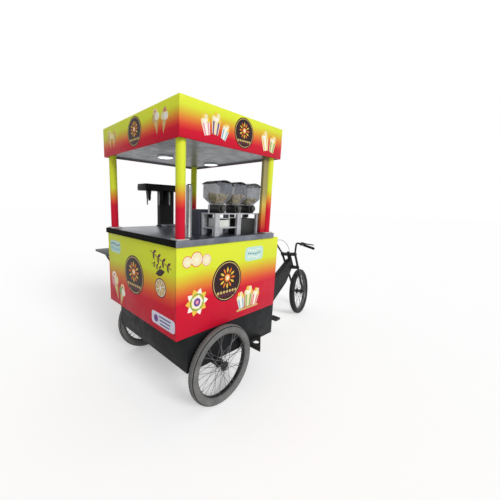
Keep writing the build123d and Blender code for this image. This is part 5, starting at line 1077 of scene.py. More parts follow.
def leaf_sprig(motif, u, v, length, angle, ink, pairs):
    """A stem with pairs of small leaves."""
    motif.next_print()
    along = Vector((cos(angle), sin(angle)))
    middle = Vector((u, v)) + along * length / 2
    motif.slab(middle.x, middle.y, length, length * 0.018, ink, 1, angle)
    for k in range(pairs):
        root = Vector((u, v)) + along * length * (0.16 + 0.22 * k)
        for side in (-1, 1):
            motif.petal(root.x, root.y, length * 0.17, length * 0.07, angle + side * 0.9, ink,
                        1.4 + 0.15 * side)


def dotted_wave(motif, u, v, width, ink, size, rise, phase=0.0):
    """A row of dots that rises and falls."""
    motif.next_print()
    dots = 8
    for k in range(dots):
        share = k / (dots - 1)
        motif.disc(u + (share - 0.5) * width, v + rise * sin(tau * share + phase), size, ink, 2, 16)


# Operators, one for each group of like pieces

class CART_OT_stage(bpy.types.Operator):
    """Sets the camera, the pale floor, the surroundings and the soft lights"""
    bl_idname = "cart.stage"
    bl_label = "Stage"

    def execute(self, context):
        scene = context.scene
        scene.view_settings.view_transform = "Standard"
        self.light_surroundings(scene)
        self.lay_floor(scene)
        self.hang_sun(scene)
        self.place_camera(scene)
        return {"FINISHED"}

    def light_surroundings(self, scene):
        """A white background that lights less than it shows."""
        world = bpy.data.worlds.new("pale_studio")
        scene.world = world
        world.use_nodes = True
        tree = world.node_tree
        tree.nodes.clear()
        strength = between(tree, self.seen_rays(tree), scene.cart_studio.ambient, 1.0)
        light = wire(tree, "ShaderNodeBackground", {"Color": (1, 1, 1, 1), "Strength": strength})
        wire(tree, "ShaderNodeOutputWorld", {"Surface": light.outputs[0]})

    def lay_floor(self, scene):
        """A pale floor that takes soft shadows."""
        bm = bmesh.new()
        bm.faces.new([bm.verts.new((x * FLOOR_REACH, y * FLOOR_REACH, 0.0))
                      for x, y in ((-1, -1), (1, -1), (1, 1), (-1, 1))])
        mesh = bpy.data.meshes.new("studio_floor")
        bm.to_mesh(mesh)
        bm.free()
        material = bpy.data.materials.new("pale_floor")
        material.use_nodes = True
        tree = material.node_tree
        tree.nodes.clear()
        tone = mixed(tree, grain(tree, 3.0), (0.86, 0.86, 0.86, 1), (0.88, 0.88, 0.88, 1))
        paint = wire(tree, "ShaderNodeBsdfDiffuse", {"Color": tone})
        lift = between(tree, self.seen_rays(tree), 0.0, scene.cart_studio.floor_lift)
        glow = wire(tree, "ShaderNodeEmission", {"Color": (1, 1, 1, 1), "Strength": lift})
        both = wire(tree, "ShaderNodeAddShader", {0: paint.outputs[0], 1: glow.outputs[0]})
        wire(tree, "ShaderNodeOutputMaterial", {"Surface": both.outputs[0]})
        mesh.materials.append(material)
        link_object("studio_floor", mesh)

    def hang_sun(self, scene):
        """A broad soft light from the cart's right."""
        key = bpy.data.lights.new("key_light", "SUN")
        key.energy = scene.cart_studio.sun
        key.angle = SUN_SPREAD
        lamp = link_object("key_light", key)
        lamp.rotation_euler = SUN_DIRECTION.to_track_quat("-Z", "Y").to_euler()

    def place_camera(self, scene):
        """The camera that took the photograph, as its edges tell it."""
        lens = bpy.data.cameras.new("photo_camera")
        lens.sensor_width = SENSOR
        lens.lens = SENSOR * CAMERA_FOCUS / PICTURE
        lens.shift_x = 0.5 - CAMERA_CENTRE[0] / PICTURE
        lens.shift_y = CAMERA_CENTRE[1] / PICTURE - 0.5
        camera = link_object("photo_camera", lens)
        ahead = Vector((cos(CAMERA_YAW) * cos(CAMERA_PITCH), sin(CAMERA_YAW) * cos(CAMERA_PITCH),
                        -sin(CAMERA_PITCH)))
        right = Vector((sin(CAMERA_YAW), -cos(CAMERA_YAW), 0))
        up = right.cross(ahead)
        level_right = right * cos(CAMERA_ROLL) + up * sin(CAMERA_ROLL)
        level_up = up * cos(CAMERA_ROLL) - right * sin(CAMERA_ROLL)
        place = Matrix((level_right, level_up, -ahead)).transposed().to_4x4()
        place.translation = CAMERA_PLACE
        camera.matrix_world = place
        scene.camera = camera

    @staticmethod
    def seen_rays(tree):
        """One where the camera, a reflection or a view through glass looks, and zero for light."""
        path = tree.nodes.new("ShaderNodeLightPath")
        sharp = math(tree, "MAXIMUM", path.outputs["Is Camera Ray"], path.outputs["Is Glossy Ray"])
        return math(tree, "MAXIMUM", sharp, path.outputs["Is Transmission Ray"])


class CART_OT_cabinet(bpy.types.Operator):
    """Dresses the cabinet: printed panels, door, floor, counter and side shelf"""
    bl_idname = "cart.cabinet"
    bl_label = "Cabinet and Counter"

    def execute(self, context):
        dress_all(panel_right=0.0012, panel_left=0.0012, panel_rear=0.0012, panel_front=0.0012,
                  storage_door=0.0012, cabinet_floor=0.001, counter_top=0.003, side_shelf=0.0025,
                  shelf_brackets=0.001)
        self.add_counter_rear_shade()
        return {"FINISHED"}

    def add_counter_rear_shade(self):
        """A black strip along the slab's rear edge, rounded over at its lips: painted shade and dark reflection on
        the edge that faces away from the light.
        """
        low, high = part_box("counter_top")
        bm = bmesh.new()
        thickness, lip = 0.003, 0.010
        section = [(0.0, low.z + 0.0005), (-thickness, low.z + 0.002), (-thickness, high.z - 0.001),
                   (-thickness * 0.4, high.z + 0.0012), (lip, high.z + 0.0012), (lip, high.z + 0.0001),
                   (-0.0001, high.z + 0.0001)]
        ends = []
        for y in (low.y + 0.001, high.y - 0.001):
            ends.append([bm.verts.new((low.x + x, y, z)) for x, z in section])
        bridge_loops(bm, ends)
        settle(piece_from("counter_rear_shade_strip", bm, "rear_edge_shade", angle=50), "cart", "dark_plastic")


class CART_OT_canopy(bpy.types.Operator):
    """Dresses the canopy: posts, printed fascia, ceiling, roof sheet, lamps and trunking"""
    bl_idname = "cart.canopy"
    bl_label = "Canopy"

    def execute(self, context):
        self.make_posts()
        dress("post_flanges", 0.0012, finish="flange")
        self.dress_fascia()
        dress_all(canopy_ceiling=0.0, canopy_roof=0.001, post_trunking=0.002)
        self.make_lamps()
        self.add_flange_bolts()
        return {"FINISHED"}

    def dress_fascia(self):
        """The fascia's sides and ends carry their own bands of colour, and its inner faces are bare."""
        fascia = dress("canopy_fascia", 0.002)
        low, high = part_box("canopy_fascia")
        skin = 0.003
        for finish in ("fascia_end_wrap", "ceiling"):
            fascia.data.materials.append(finish_named(finish))
        for face in fascia.data.polygons:
            x, y = face.center.x, face.center.y
            depth = min(x - low.x, high.x - x, y - low.y, high.y - y)
            if depth > skin and abs(face.normal.z) < 0.7:
                face.material_index = 2
            elif abs(face.normal.x) > abs(face.normal.y):
                face.material_index = 1

    def make_posts(self):
        """Four smooth round posts, a little rounded over at their ends."""
        low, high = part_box("canopy_posts")
        radius, lip = 0.030, 0.001
        bm = bmesh.new()
        for x in (low.x + radius, high.x - radius):
            for y in (low.y + radius, high.y - radius):
                ends = ((low.z, radius - lip), (low.z + lip, radius), (high.z - lip, radius),
                        (high.z, radius - lip))
                bridge_loops(bm, [oval_loop(bm, x, y, z, r, r, 64) for z, r in ends])
        settle(piece_from("round_posts", bm, "post_wrap"), "cart", "post_wrap", "canopy_posts")

    def make_lamps(self):
        """Two flush round lamps, each a lit diffuser in a white rim."""
        low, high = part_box("ceiling_lamps")
        radius = 0.070
        drop = high.z - low.z
        glass, rims = bmesh.new(), bmesh.new()
        for x, y in ((low.x + radius, low.y + radius), (high.x - radius, high.y - radius)):
            place = Matrix.Translation((x, y, high.z)) @ Matrix.Rotation(pi / 2, 4, "X")
            spin_profile(glass, [(radius * 0.84, 0.0), (radius * 0.84, -drop * 0.7),
                                 (radius * 0.7, -drop * 0.94), (radius * 0.35, -drop)], place, 64)
            spin_section(rims, [(radius, 0.0), (radius, -drop * 0.6), (radius * 0.94, -drop * 0.9),
                                (radius * 0.86, -drop * 0.8), (radius * 0.86, 0.0)], place, 64)
        settle(piece_from("lamp_diffusers", glass, "lamp"), "cart", "lamp", "ceiling_lamps")
        settle(piece_from("lamp_rims", rims, "box_plastic"), "cart", "box_plastic")

    def add_flange_bolts(self):
        """Four bolt heads on each post's foot plate."""
        low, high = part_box("post_flanges")
        inset = 0.011
        length, width = 0.092, 0.078
        places = []
        for x0 in (low.x, high.x - length):
            for y0 in (low.y, high.y - width):
                for x in (x0 + inset, x0 + length - inset):
                    for y in (y0 + inset, y0 + width - inset):
                        places.append(((x, y, high.z), (0, 0, 1)))
        heads_at("flange_bolts", places, 0.006, 0.55, "bolt", "cart", "steel", 6)


class CART_OT_chassis(bpy.types.Operator):
    """Dresses the chassis: skirt, ladder frame, axle housings and steps"""
    bl_idname = "cart.chassis"
    bl_label = "Chassis"

    def execute(self, context):
        dress_all(lower_skirt=0.0012, chassis_frame=0.0015, axle_housing=0.001, side_steps=0.0012,
                  main_beam=0.002, rear_axle=0.0006)
        self.add_skirt_rivets()
        return {"FINISHED"}

    def add_skirt_rivets(self):
        """Black rivets along the upper edge of the skirt's three walls."""
        low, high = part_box("lower_skirt")
        spacing, drop, inset = 0.13, 0.016, 0.04
        length, width = high.x - low.x - 2 * inset, high.y - low.y - 2 * inset
        along, across = int(length / spacing), int(width / spacing)
        places = []
        for k in range(along + 1):
            x = low.x + inset + k * length / along
            for y, side in ((low.y, -1), (high.y, 1)):
                places.append(((x, y, high.z - drop), (0, side, 0)))
        for k in range(across + 1):
            y = low.y + inset + k * width / across
            places.append(((low.x, y, high.z - drop), (-1, 0, 0)))
        heads_at("skirt_rivets", places, 0.0045, 0.5, "frame_paint", "cart", "frame_paint")


def rows_on_wheels(rows, places):
    """Copies a wheel's rows of pieces to each of its places, in one mesh, and removes the rows."""
    bm = bmesh.new()
    for place in places:
        for row in rows:
            start = len(bm.verts)
            bm.from_mesh(row.data)
            bm.verts.ensure_lookup_table()
            bmesh.ops.transform(bm, matrix=place, verts=bm.verts[start:])
    for row in rows:
        bpy.data.objects.remove(row)
    return bm


class CART_OT_wheels(bpy.types.Operator):
    """Builds tyres with tread, rims, laced spokes and hubs for the three wheels"""
    bl_idname = "cart.wheels"
    bl_label = "Wheels"

    def execute(self, context):
        rear = [wheel_matrix(Vector((0, side * HALF_TRACK, WHEEL_RADIUS)), (0, 1, 0)) for side in (-1, 1)]
        front = [wheel_matrix(FRONT_CENTRE, STEER_Y)]
        for prefix, places, body, tyre, tyres, rims, hubs in (
                ("rear", rear, "rear_wheel_set", "tyre", "rear_tyres", "rear_rims", "rear_hubs"),
                ("front", front, "front_wheel", "front_tyre", "front_tyre", "front_rim", "front_hub")):
            self.make_tyres(f"{prefix}_treaded_tyres", places, body, tyre, tyres)
            self.make_treads(f"{prefix}_tread_blocks", places, body, tyre)
            self.make_rims(f"{prefix}_box_rims", places, body, rims)
            self.make_spokes(f"{prefix}_wire_spokes", places, body, f"{prefix}_spokes")
            self.make_hubs(f"{prefix}_spool_hubs", places, body, hubs)
        return {"FINISHED"}

    def tyre_section(self):
        """A closed section: round walls with a groove beside the tread on each, a crown, and the beads."""
        middle = WHEEL_RADIUS - TYRE_RISE
        section = []
        for degrees in range(-BEAD_ANGLE, BEAD_ANGLE + 1, SECTION_STEP):
            angle = radians(degrees)
            width = TYRE_WIDTH / 2 * sin(angle)
            radius = middle + TYRE_RISE * cos(angle)
            if cos(angle) > 0 and GROOVE_START < abs(width) < GROOVE_END:
                radius -= GROOVE_DEPTH
            section.append((radius - TREAD_STAND, width))
        return section

    def make_tyres(self, name, places, body, finish, replaced):
        steps = bpy.context.scene.cart_wheels.round_steps
        section = self.tyre_section()
        bm = bmesh.new()
        for place in places:
            spin_section(bm, section, place, steps)
        middle = sum(radius for radius, _ in section) / len(section)
        # Faces round each groove take the darker rubber: painted shade in the groove, with less dust
        for number, face in enumerate(bm.faces):
            radius, width = section[number % len(section)]
            if radius > middle and GROOVE_SHADE_START < abs(width) < GROOVE_SHADE_END:
                face.material_index = 1
        settle(piece_from(name, bm, finish, "groove", angle=60), body, "tyre", replaced)

    def make_treads(self, name, places, body, finish):
        """Three rows of blocks: one along the crown and one on each shoulder, square to the tyre's skin."""
        settings = bpy.context.scene.cart_wheels
        tree, named = tread_tree()
        rows = []
        for side, phase in ((0, 0.0), (1, 0.5), (-1, 0.5)):
            offset, lean = TREAD_SHOULDER * side, TREAD_LEAN * side
            tip = -asin(offset / (TYRE_WIDTH / 2))
            radius = WHEEL_RADIUS - TYRE_RISE * (1 - cos(tip)) - TREAD_SINK
            rows.append(grow(f"{name}_{len(rows)}", empty_mesh(name), tree, named, {
                "Count": settings.tread_count, "Radius": radius, "Offset": offset, "Phase": phase,
                "Size": settings.tread_size, "Lean": lean, "Tip": tip, "Finish": finish_named(finish),
            }))
        settle(piece_from(name, rows_on_wheels(rows, places), finish), body, "tyre")

    def make_rims(self, name, places, body, replaced):
        """Box rims with rounded walls, a brake track and a small hook at each edge."""
        outer, inner = RIM_RADIUS, RIM_RADIUS - RIM_DEPTH
        half = RIM_WIDTH / 2
        side = [(inner, 0.0), (inner + 0.0003, 0.005), (inner + 0.0012, 0.0085),
                (inner + 0.0045, half * 0.74), (inner + 0.0095, half - 0.0008), (inner + 0.0110, half),
                (outer - 0.0012, half), (outer, half - 0.0008), (outer, half - 0.0022)]
        section = side + [(r, -w) for r, w in reversed(side[1:])]
        bm = bmesh.new()
        steps = bpy.context.scene.cart_wheels.round_steps
        for place in places:
            spin_section(bm, section, place, steps)
        slot = SLOT_OF[replaced]
        settle(piece_from(name, bm, slot), body, slot, replaced)

    def make_spokes(self, name, places, body, replaced):
        """Four rows a wheel: two sides, each with a leading and a trailing lean."""
        count = bpy.context.scene.cart_wheels.spokes_a_row
        tree, named = spoke_tree()
        rows = []
        for side in (-1, 1):
            for pair in (0, 1):
                per_side = 2 * count
                phase = tau / per_side * pair + (pi / per_side if side > 0 else 0.0)
                stagger = SPOKE_STAGGER if pair else -SPOKE_STAGGER
                rows.append(grow(f"{name}_{len(rows)}", empty_mesh(name), tree, named, {
                    "Count": count, "Hub Radius": HUB_FLANGE_RADIUS - 0.002,
                    "Rim Radius": RIM_RADIUS - RIM_DEPTH,
                    "Hub Offset": side * HUB_FLANGE_SPACING / 2 + stagger,
                    "Rim Offset": side * SPOKE_RIM_OFFSET + stagger, "Phase": phase,
                    "Lacing": SPOKE_LACING if pair else -SPOKE_LACING, "Wire Radius": SPOKE_RADIUS,
                    "Finish": finish_named("spoke"),
                }))
        bm = rows_on_wheels(rows, places)
        settle(piece_from(name, bm, "spoke", angle=50), body, "spoke", replaced)

    def make_hubs(self, name, places, body, replaced):
        """Spool hubs: a waisted barrel between two flanges, with a dust cap at each end."""
        length, axle = {"rear_hubs": (REAR_HUB_LENGTH, AXLE_RADIUS),
                        "front_hub": (FRONT_HUB_LENGTH, FRONT_AXLE_RADIUS)}[replaced]
        bore = axle + HUB_CLEARANCE
        flange = HUB_FLANGE_SPACING / 2
        half = [(HUB_BARREL_RADIUS - 0.005, 0.0), (HUB_BARREL_RADIUS - 0.004, 0.010),
                (HUB_BARREL_RADIUS, flange - 0.004), (HUB_FLANGE_RADIUS - 0.002, flange - 0.002),
                (HUB_FLANGE_RADIUS, flange - 0.001), (HUB_FLANGE_RADIUS, flange + 0.001),
                (HUB_FLANGE_RADIUS - 0.002, flange + 0.002), (HUB_BARREL_RADIUS, flange + 0.003),
                (HUB_BARREL_RADIUS - 0.002, length / 2 - 0.004), (HUB_BARREL_RADIUS - 0.006, length / 2),
                (bore, length / 2)]
        section = half + [(r, -w) for r, w in reversed(half[1:])]
        bm = bmesh.new()
        for place in places:
            spin_section(bm, section, place, 48)
        settle(piece_from(name, bm, "hub"), body, "hub", replaced)


def steer_point(forward, left, along):
    """A place in the steering frame."""
    return STEER_FOOT + STEER_X * forward + STEER_Y * left + STEER_Z * along


def bar_point(place, side):
    return steer_point(place[0], side * place[1], place[2])


def lever_place(side, along, ahead, above):
    """A place by a brake lever: along the bar to its end, ahead of it and square to both."""
    run = (bar_point(BAR_END, side) - bar_point(BAR_TOP, side)).normalized()
    forward = (STEER_X - run * STEER_X.dot(run)).normalized()
    origin = bar_point(BAR_END, side) - run * (GRIP_LENGTH + 0.034)
    return origin + run * along + forward * ahead + run.cross(forward) * above


class CART_OT_steering(bpy.types.Operator):
    """Dresses the steering: fork, handlebar, ribbed grips, levers and the brake cable"""
    bl_idname = "cart.steering"
    bl_label = "Steering"

    def execute(self, context):
        dress_all(fork=0.0012, handlebar=0.0, lever_clamps=0.0005, brake_lever_left=0.0012,
                  brake_lever_right=0.0012)
        self.make_grips()
        self.make_cable()
        return {"FINISHED"}

    def make_grips(self):
        """Soft grips with ribs round them and a flange at the inner end."""
        bm = bmesh.new()
        ribs = 17
        for side in (-1, 1):
            run = (bar_point(BAR_END, side) - bar_point(BAR_TOP, side)).normalized()
            end = bar_point(BAR_END, side)
            place = wheel_matrix(end, run)
            start = -GRIP_LENGTH
            profile = [(0.0112, start), (GRIP_RADIUS, start + 0.001), (GRIP_RADIUS, start + 0.004),
                       (GRIP_RADIUS - 0.0028, start + 0.006)]
            for k in range(ribs):
                foot = start + 0.009 + k * (GRIP_LENGTH - 0.018) / ribs
                profile += [(GRIP_RADIUS - 0.0030, foot), (GRIP_RADIUS - 0.0012, foot + 0.0014),
                            (GRIP_RADIUS - 0.0012, foot + 0.0036), (GRIP_RADIUS - 0.0030, foot + 0.0050)]
            profile += [(GRIP_RADIUS - 0.0015, -0.004), (GRIP_RADIUS - 0.0025, 0.002),
                        (GRIP_RADIUS - 0.007, 0.003)]
            spin_profile(bm, profile, place, 32)
        settle(piece_from("ribbed_grips", bm, "grip"), "steering", "grip", "grips")

    def make_cable(self):
        """The brake cable's smooth run, from the left lever over the bar and down to the lower crown."""
        route = [
            lever_place(1, -0.0253, 0.024, -0.0088), lever_place(1, -0.060, 0.026, -0.008),
            steer_point(0.038, 0.084, 0.858), steer_point(0.046, 0.036, 0.828),
            steer_point(0.047, 0.010, 0.772), steer_point(0.042, -0.002, 0.708),
            steer_point(0.035, 0.005, 0.642), steer_point(0.038, -0.003, 0.578),
            steer_point(0.033, 0.001, 0.516), steer_point(0.031, 0.0, 0.4563),
        ]
        curve = bpy.data.curves.new("brake_cable_run", "CURVE")
        curve.dimensions = "3D"
        spline = curve.splines.new("NURBS")
        spline.points.add(len(route) - 1)
        for point, place in zip(spline.points, route):
            point.co = (*place, 1.0)
        spline.order_u = 3
        spline.use_endpoint_u = True
        curve.resolution_u = 12
        curve.bevel_depth = CABLE_DIAMETER / 2
        curve.bevel_resolution = 4
        curve.use_fill_caps = True
        obj = link_object("brake_cable_run", curve)
        mesh = shown_mesh(obj)
        bpy.data.objects.remove(obj)
        mesh.materials.clear()
        mesh.materials.append(finish_named("cable"))
        mesh.shade_smooth()
        settle(link_object("brake_cable_sleeve", mesh), "steering", "cable", "brake_cable")


class CART_OT_drive(bpy.types.Operator):
    """Dresses the drive: cranks, pedals, chain, seat post and the saddle"""
    bl_idname = "cart.drive"
    bl_label = "Drive and Saddle"

    def execute(self, context):
        dress_all(crankset=0.0008, pedal_left=0.001, pedal_right=0.001, drive_chain=0.0, seat_post=0.0008)
        self.make_saddle()
        return {"FINISHED"}

    def make_saddle(self):
        """A crowned saddle: wide at the rear, drawn in to a nose, with a groove along its middle."""
        low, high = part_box("saddle")
        length = high.x - low.x
        width = (high.y - low.y) / 2
        height = high.z - low.z
        shape = ((0.0, 0.52, 0.86), (0.05, 0.80, 0.95), (0.16, 0.985, 1.0), (0.3, 0.90, 0.985),
                 (0.42, 0.66, 0.93), (0.55, 0.40, 0.88), (0.7, 0.275, 0.86), (0.85, 0.23, 0.88),
                 (0.95, 0.20, 0.84), (1.0, 0.11, 0.66))
        bm = bmesh.new()
        loops = []
        sides = 28
        for share, half, top in shape:
            loop = []
            for k in range(sides):
                angle = tau * k / sides
                across = cos(angle)
                lift = sin(angle)
                y = width * half * abs(across) ** 0.75 * (1 if across > 0 else -1)
                if lift >= 0:
                    z = low.z + height * (0.42 + (top - 0.42) * lift ** 0.62)
                    z -= 0.006 * max(0.0, 1 - abs(y) / 0.018) * (1 if 0.12 < share < 0.9 else 0)
                else:
                    z = low.z + height * 0.42 * (1 - (-lift) ** 0.7) + 0.0015
                loop.append(bm.verts.new((low.x + 0.004 + share * (length - 0.008), y, z)))
            loops.append(loop)
        bridge_loops(bm, loops)
        saddle = piece_from("crowned_saddle", bm, "saddle", angle=80)
        smooth = saddle.modifiers.new("smooth", "SUBSURF")
        smooth.levels = 2
        smooth.render_levels = 2
        baked(saddle)
        settle(saddle, "cart", "saddle", "saddle")


class CART_OT_dispenser(bpy.types.Operator):
    """Dresses the drinks dispenser: column, head, nozzles, levers and drip tray"""
    bl_idname = "cart.dispenser"
    bl_label = "Drinks Dispenser"

    def execute(self, context):
        dress_all(dispenser_column=0.004, dispenser_head=0.006, drip_tray=0.0008)
        for number in (1, 2, 3):
            self.make_lever(f"tap_lever_{number}")
        self.make_nozzles()
        self.add_tray_grille()
        self.add_head_seam()
        return {"FINISHED"}

    def make_nozzles(self):
        """Three black nozzles: a collar, a ribbed sleeve and a tapered mouth."""
        low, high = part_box("dispenser_nozzles")
        radius = (high.y - low.y) / 2
        length = high.z - low.z
        bm = bmesh.new()
        xs = [low.x + radius, (low.x + high.x) / 2, high.x - radius]
        for x in xs:
            place = Matrix.Translation((x, (low.y + high.y) / 2, high.z)) @ Matrix.Rotation(pi / 2, 4, "X")
            profile = [(radius, 0.0), (radius, -0.010), (radius - 0.0015, -0.012), (radius - 0.0015, -0.030),
                       (radius - 0.004, -0.034)]
            for k in range(4):
                foot = -0.038 - k * 0.007
                profile += [(radius - 0.0045, foot), (radius - 0.0040, foot - 0.0015),
                            (radius - 0.0040, foot - 0.0035), (radius - 0.0050, foot - 0.005)]
            profile += [(radius - 0.0048, -0.068), (radius - 0.0085, -length + 0.002),
                        (radius - 0.010, -length)]
            spin_profile(bm, profile, place, 36)
        settle(piece_from("black_nozzles", bm, "nozzle"), "cart", "nozzle", "dispenser_nozzles")

    def make_lever(self, node):
        """A steel lever that tapers to a rounded tip, with the pin's knuckle at its top."""
        low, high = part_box(node)
        middle = (low + high) / 2
        half_x = (high.x - low.x) / 2
        half_y = (high.y - low.y) / 2
        length = high.z - low.z
        bm = bmesh.new()
        bridge_loops(bm, [
            oval_loop(bm, middle.x, middle.y, low.z + share * length, half_x * width,
                      half_y * (0.6 + 0.4 * width), 20)
            for share, width in ((0.0, 0.28), (0.015, 0.42), (0.06, 0.52), (0.45, 0.62), (0.8, 0.86),
                                 (0.9, 1.0), (0.98, 0.96), (1.0, 0.7))
        ])
        settle(piece_from(f"{node}_blade", bm, "steel"), BODY_OF[node], "steel", node)

    def add_tray_grille(self):
        """Bars across the drip tray, just under its lip."""
        low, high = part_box("drip_tray")
        tree, named = bar_tree()
        count, wall = 15, 0.003
        gap = (high.x - low.x - 2 * wall) / (count + 1)
        obj = grow("drip_tray_grille", empty_mesh("grille"), tree, named, {
            "Count": count, "Start": (low.x + wall + gap, (low.y + high.y) / 2, high.z - 0.003),
            "Step": (gap, 0.0, 0.0), "Size": (0.0035, high.y - low.y - 2 * wall, 0.0022),
            "Finish": finish_named("steel"),
        })
        settle(obj, "cart", "counter_steel")

    def add_head_seam(self):
        """A raised band round the head where its cover meets its tray."""
        low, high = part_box("dispenser_head")
        bm = bmesh.new()
        z = low.z + 0.4 * (high.z - low.z)
        out, depth = 0.0012, 0.004
        for x0, x1, y0, y1 in ((low.x - out, high.x + out, low.y - out, low.y + 0.002),
                               (low.x - out, high.x + out, high.y - 0.002, high.y + out),
                               (low.x - out, low.x + 0.002, low.y, high.y),
                               (high.x - 0.002, high.x + out, low.y, high.y)):
            box_mesh(bm, (x0, y0, z - depth / 2), (x1, y1, z + depth / 2))
        settle(piece_from("head_seam_band", bm, "nozzle"), "cart", "nozzle")


class CART_OT_hopper_rack(bpy.types.Operator):
    """Dresses the hopper rack: clear hoppers with cereal, valves, knobs, cover, boxes and napkins"""
    bl_idname = "cart.hopper_rack"
    bl_label = "Hopper Rack"

    def execute(self, context):
        dress_all(rack_frame=0.0012, hopper_valves=0.0008)
        dress("hopper_cover", 0.0, finish="cover")
        dress_all(portion_knob_1=0.0015, portion_knob_2=0.0015, portion_knob_3=0.0015)
        self.make_hoppers()
        self.fill_hoppers()
        self.make_boxes()
        dress("warmer_box", 0.003)
        self.make_straw_tube()
        return {"FINISHED"}

    def hopper_ring(self, bm, x, z, width, depth, inset, crown):
        """A rounded square ring of the hopper's wall at a height; its top follows the crown."""
        corner = 0.016
        ring = []
        for across, along in rounded_outline(width - 2 * inset, depth - 2 * inset, corner - inset, 6):
            rise = CROWN_RISE * (1 - (across / (HOPPER_PITCH / 2)) ** 2) if crown else 0.0
            ring.append(bm.verts.new((x + across, HOPPER_Y + along, z + rise)))
        return ring

    def make_hoppers(self):
        """Blown clear hoppers with rounded corners, open above and below."""
        bm = bmesh.new()
        wall = 0.0025
        for x in HOPPER_XS:
            levels = ((HOPPER_BASE, HOPPER_MOUTH, HOPPER_MOUTH, False),
                      (HOPPER_BASE + 0.006, HOPPER_MOUTH, HOPPER_MOUTH, False),
                      (HOPPER_SHOULDER - 0.006, HOPPER_WIDTH - 0.010, HOPPER_DEPTH - 0.010, False),
                      (HOPPER_SHOULDER, HOPPER_WIDTH - 0.002, HOPPER_DEPTH - 0.002, False),
                      (HOPPER_SHOULDER + 0.008, HOPPER_WIDTH, HOPPER_DEPTH, False),
                      (HOPPER_TOP - 0.030, HOPPER_WIDTH, HOPPER_DEPTH, False),
                      (HOPPER_TOP - 0.0004, HOPPER_WIDTH, HOPPER_DEPTH, True))
            outer, inner = ([self.hopper_ring(bm, x, z, w, d, inset, crown) for z, w, d, crown in levels]
                            for inset in (0.0, wall))
            bridge_loops(bm, outer + inner[::-1] + outer[:1], cap=False)
        settle(piece_from("blown_hoppers", bm, "clear", angle=50), "cart", "clear", "hoppers")

    def fill_hoppers(self):
        """Cereal in the first two hoppers and a little in the third."""
        store = bpy.context.scene.cart_store
        tree, named = heap_tree()
        inset = 0.014
        for number, (x, share) in enumerate(zip(HOPPER_XS, (1.0, 1.0, 0.35)), start=1):
            top = HOPPER_BASE + 0.006 + store.fill_height * (0.55 + 0.45 * share)
            half_w, half_d = HOPPER_WIDTH / 2 - inset, HOPPER_DEPTH / 2 - inset
            heap = grow(f"cereal_heap_{number}", empty_mesh("cereal"), tree, named, {
                "Count": int(store.pieces * share),
                "Low": (x - half_w, HOPPER_Y - half_d, HOPPER_BASE + 0.010),
                "High": (x + half_w, HOPPER_Y + half_d, top), "Narrowing": 0.46, "Piece": store.piece_radius,
                "Seed": store.seed + 10 * number, "Finish": finish_named("cereal"),
            })
            heap.data.shade_smooth()
            settle(heap, "cart", "box_plastic")

    def make_boxes(self):
        """The white napkin box with its napkins, and the dark side box beyond the room it takes."""
        obj = dress("rack_boxes", 0.003)
        obj.data.materials.append(finish_named("side_box"))
        low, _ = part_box("rack_boxes")
        napkin_room = 0.115
        split = low.x + napkin_room
        for face in obj.data.polygons:
            if face.center.x > split:
                face.material_index = 1
        bm = bmesh.new()
        lowest, thickness, gap = 1.2965, 0.0021, 0.0003
        for k in range(20):
            z = lowest + k * (thickness + gap)
            shift = 0.002 * sin(k * 2.3)
            box_mesh(bm, (low.x + 0.008 + shift, low.y + 0.004 + 0.002 * cos(k * 1.7), z),
                     (low.x + 0.102 + shift, low.y + 0.104, z + thickness))
        settle(piece_from("folded_napkins", bm, "napkin"), "cart", "box_plastic")

    def make_straw_tube(self):
        """A turned steel tube with a domed cap, a line round it and a spread foot."""
        low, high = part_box("straw_tube")
        x, y = (low.x + high.x) / 2, (low.y + high.y) / 2
        foot = (high.x - low.x) / 2
        radius = foot / 2
        height = high.z - low.z
        upright = Matrix.Rotation(-pi / 2, 4, "X") @ Matrix.Scale(-1, 4, (0, 1, 0))
        place = Matrix.Translation((x, y, low.z)) @ upright
        profile = [(foot - 0.002, 0.0), (foot, 0.0012), (foot, 0.0028), (foot - 0.003, 0.0045),
                   (radius + 0.006, 0.006), (radius + 0.002, 0.009), (radius, 0.014),
                   (radius, height - 0.046), (radius - 0.0008, height - 0.045),
                   (radius - 0.0008, height - 0.043), (radius, height - 0.042), (radius, height - 0.016)]
        for step in range(1, 9):
            angle = pi / 2 * step / 9
            profile.append((radius * cos(angle), height - 0.016 + 0.016 * sin(angle)))
        profile.append((radius * 0.1, height))
        bm = bmesh.new()
        spin_profile(bm, profile, place, 48)
        settle(piece_from("turned_straw_tube", bm, "steel"), "cart", "steel", "straw_tube")


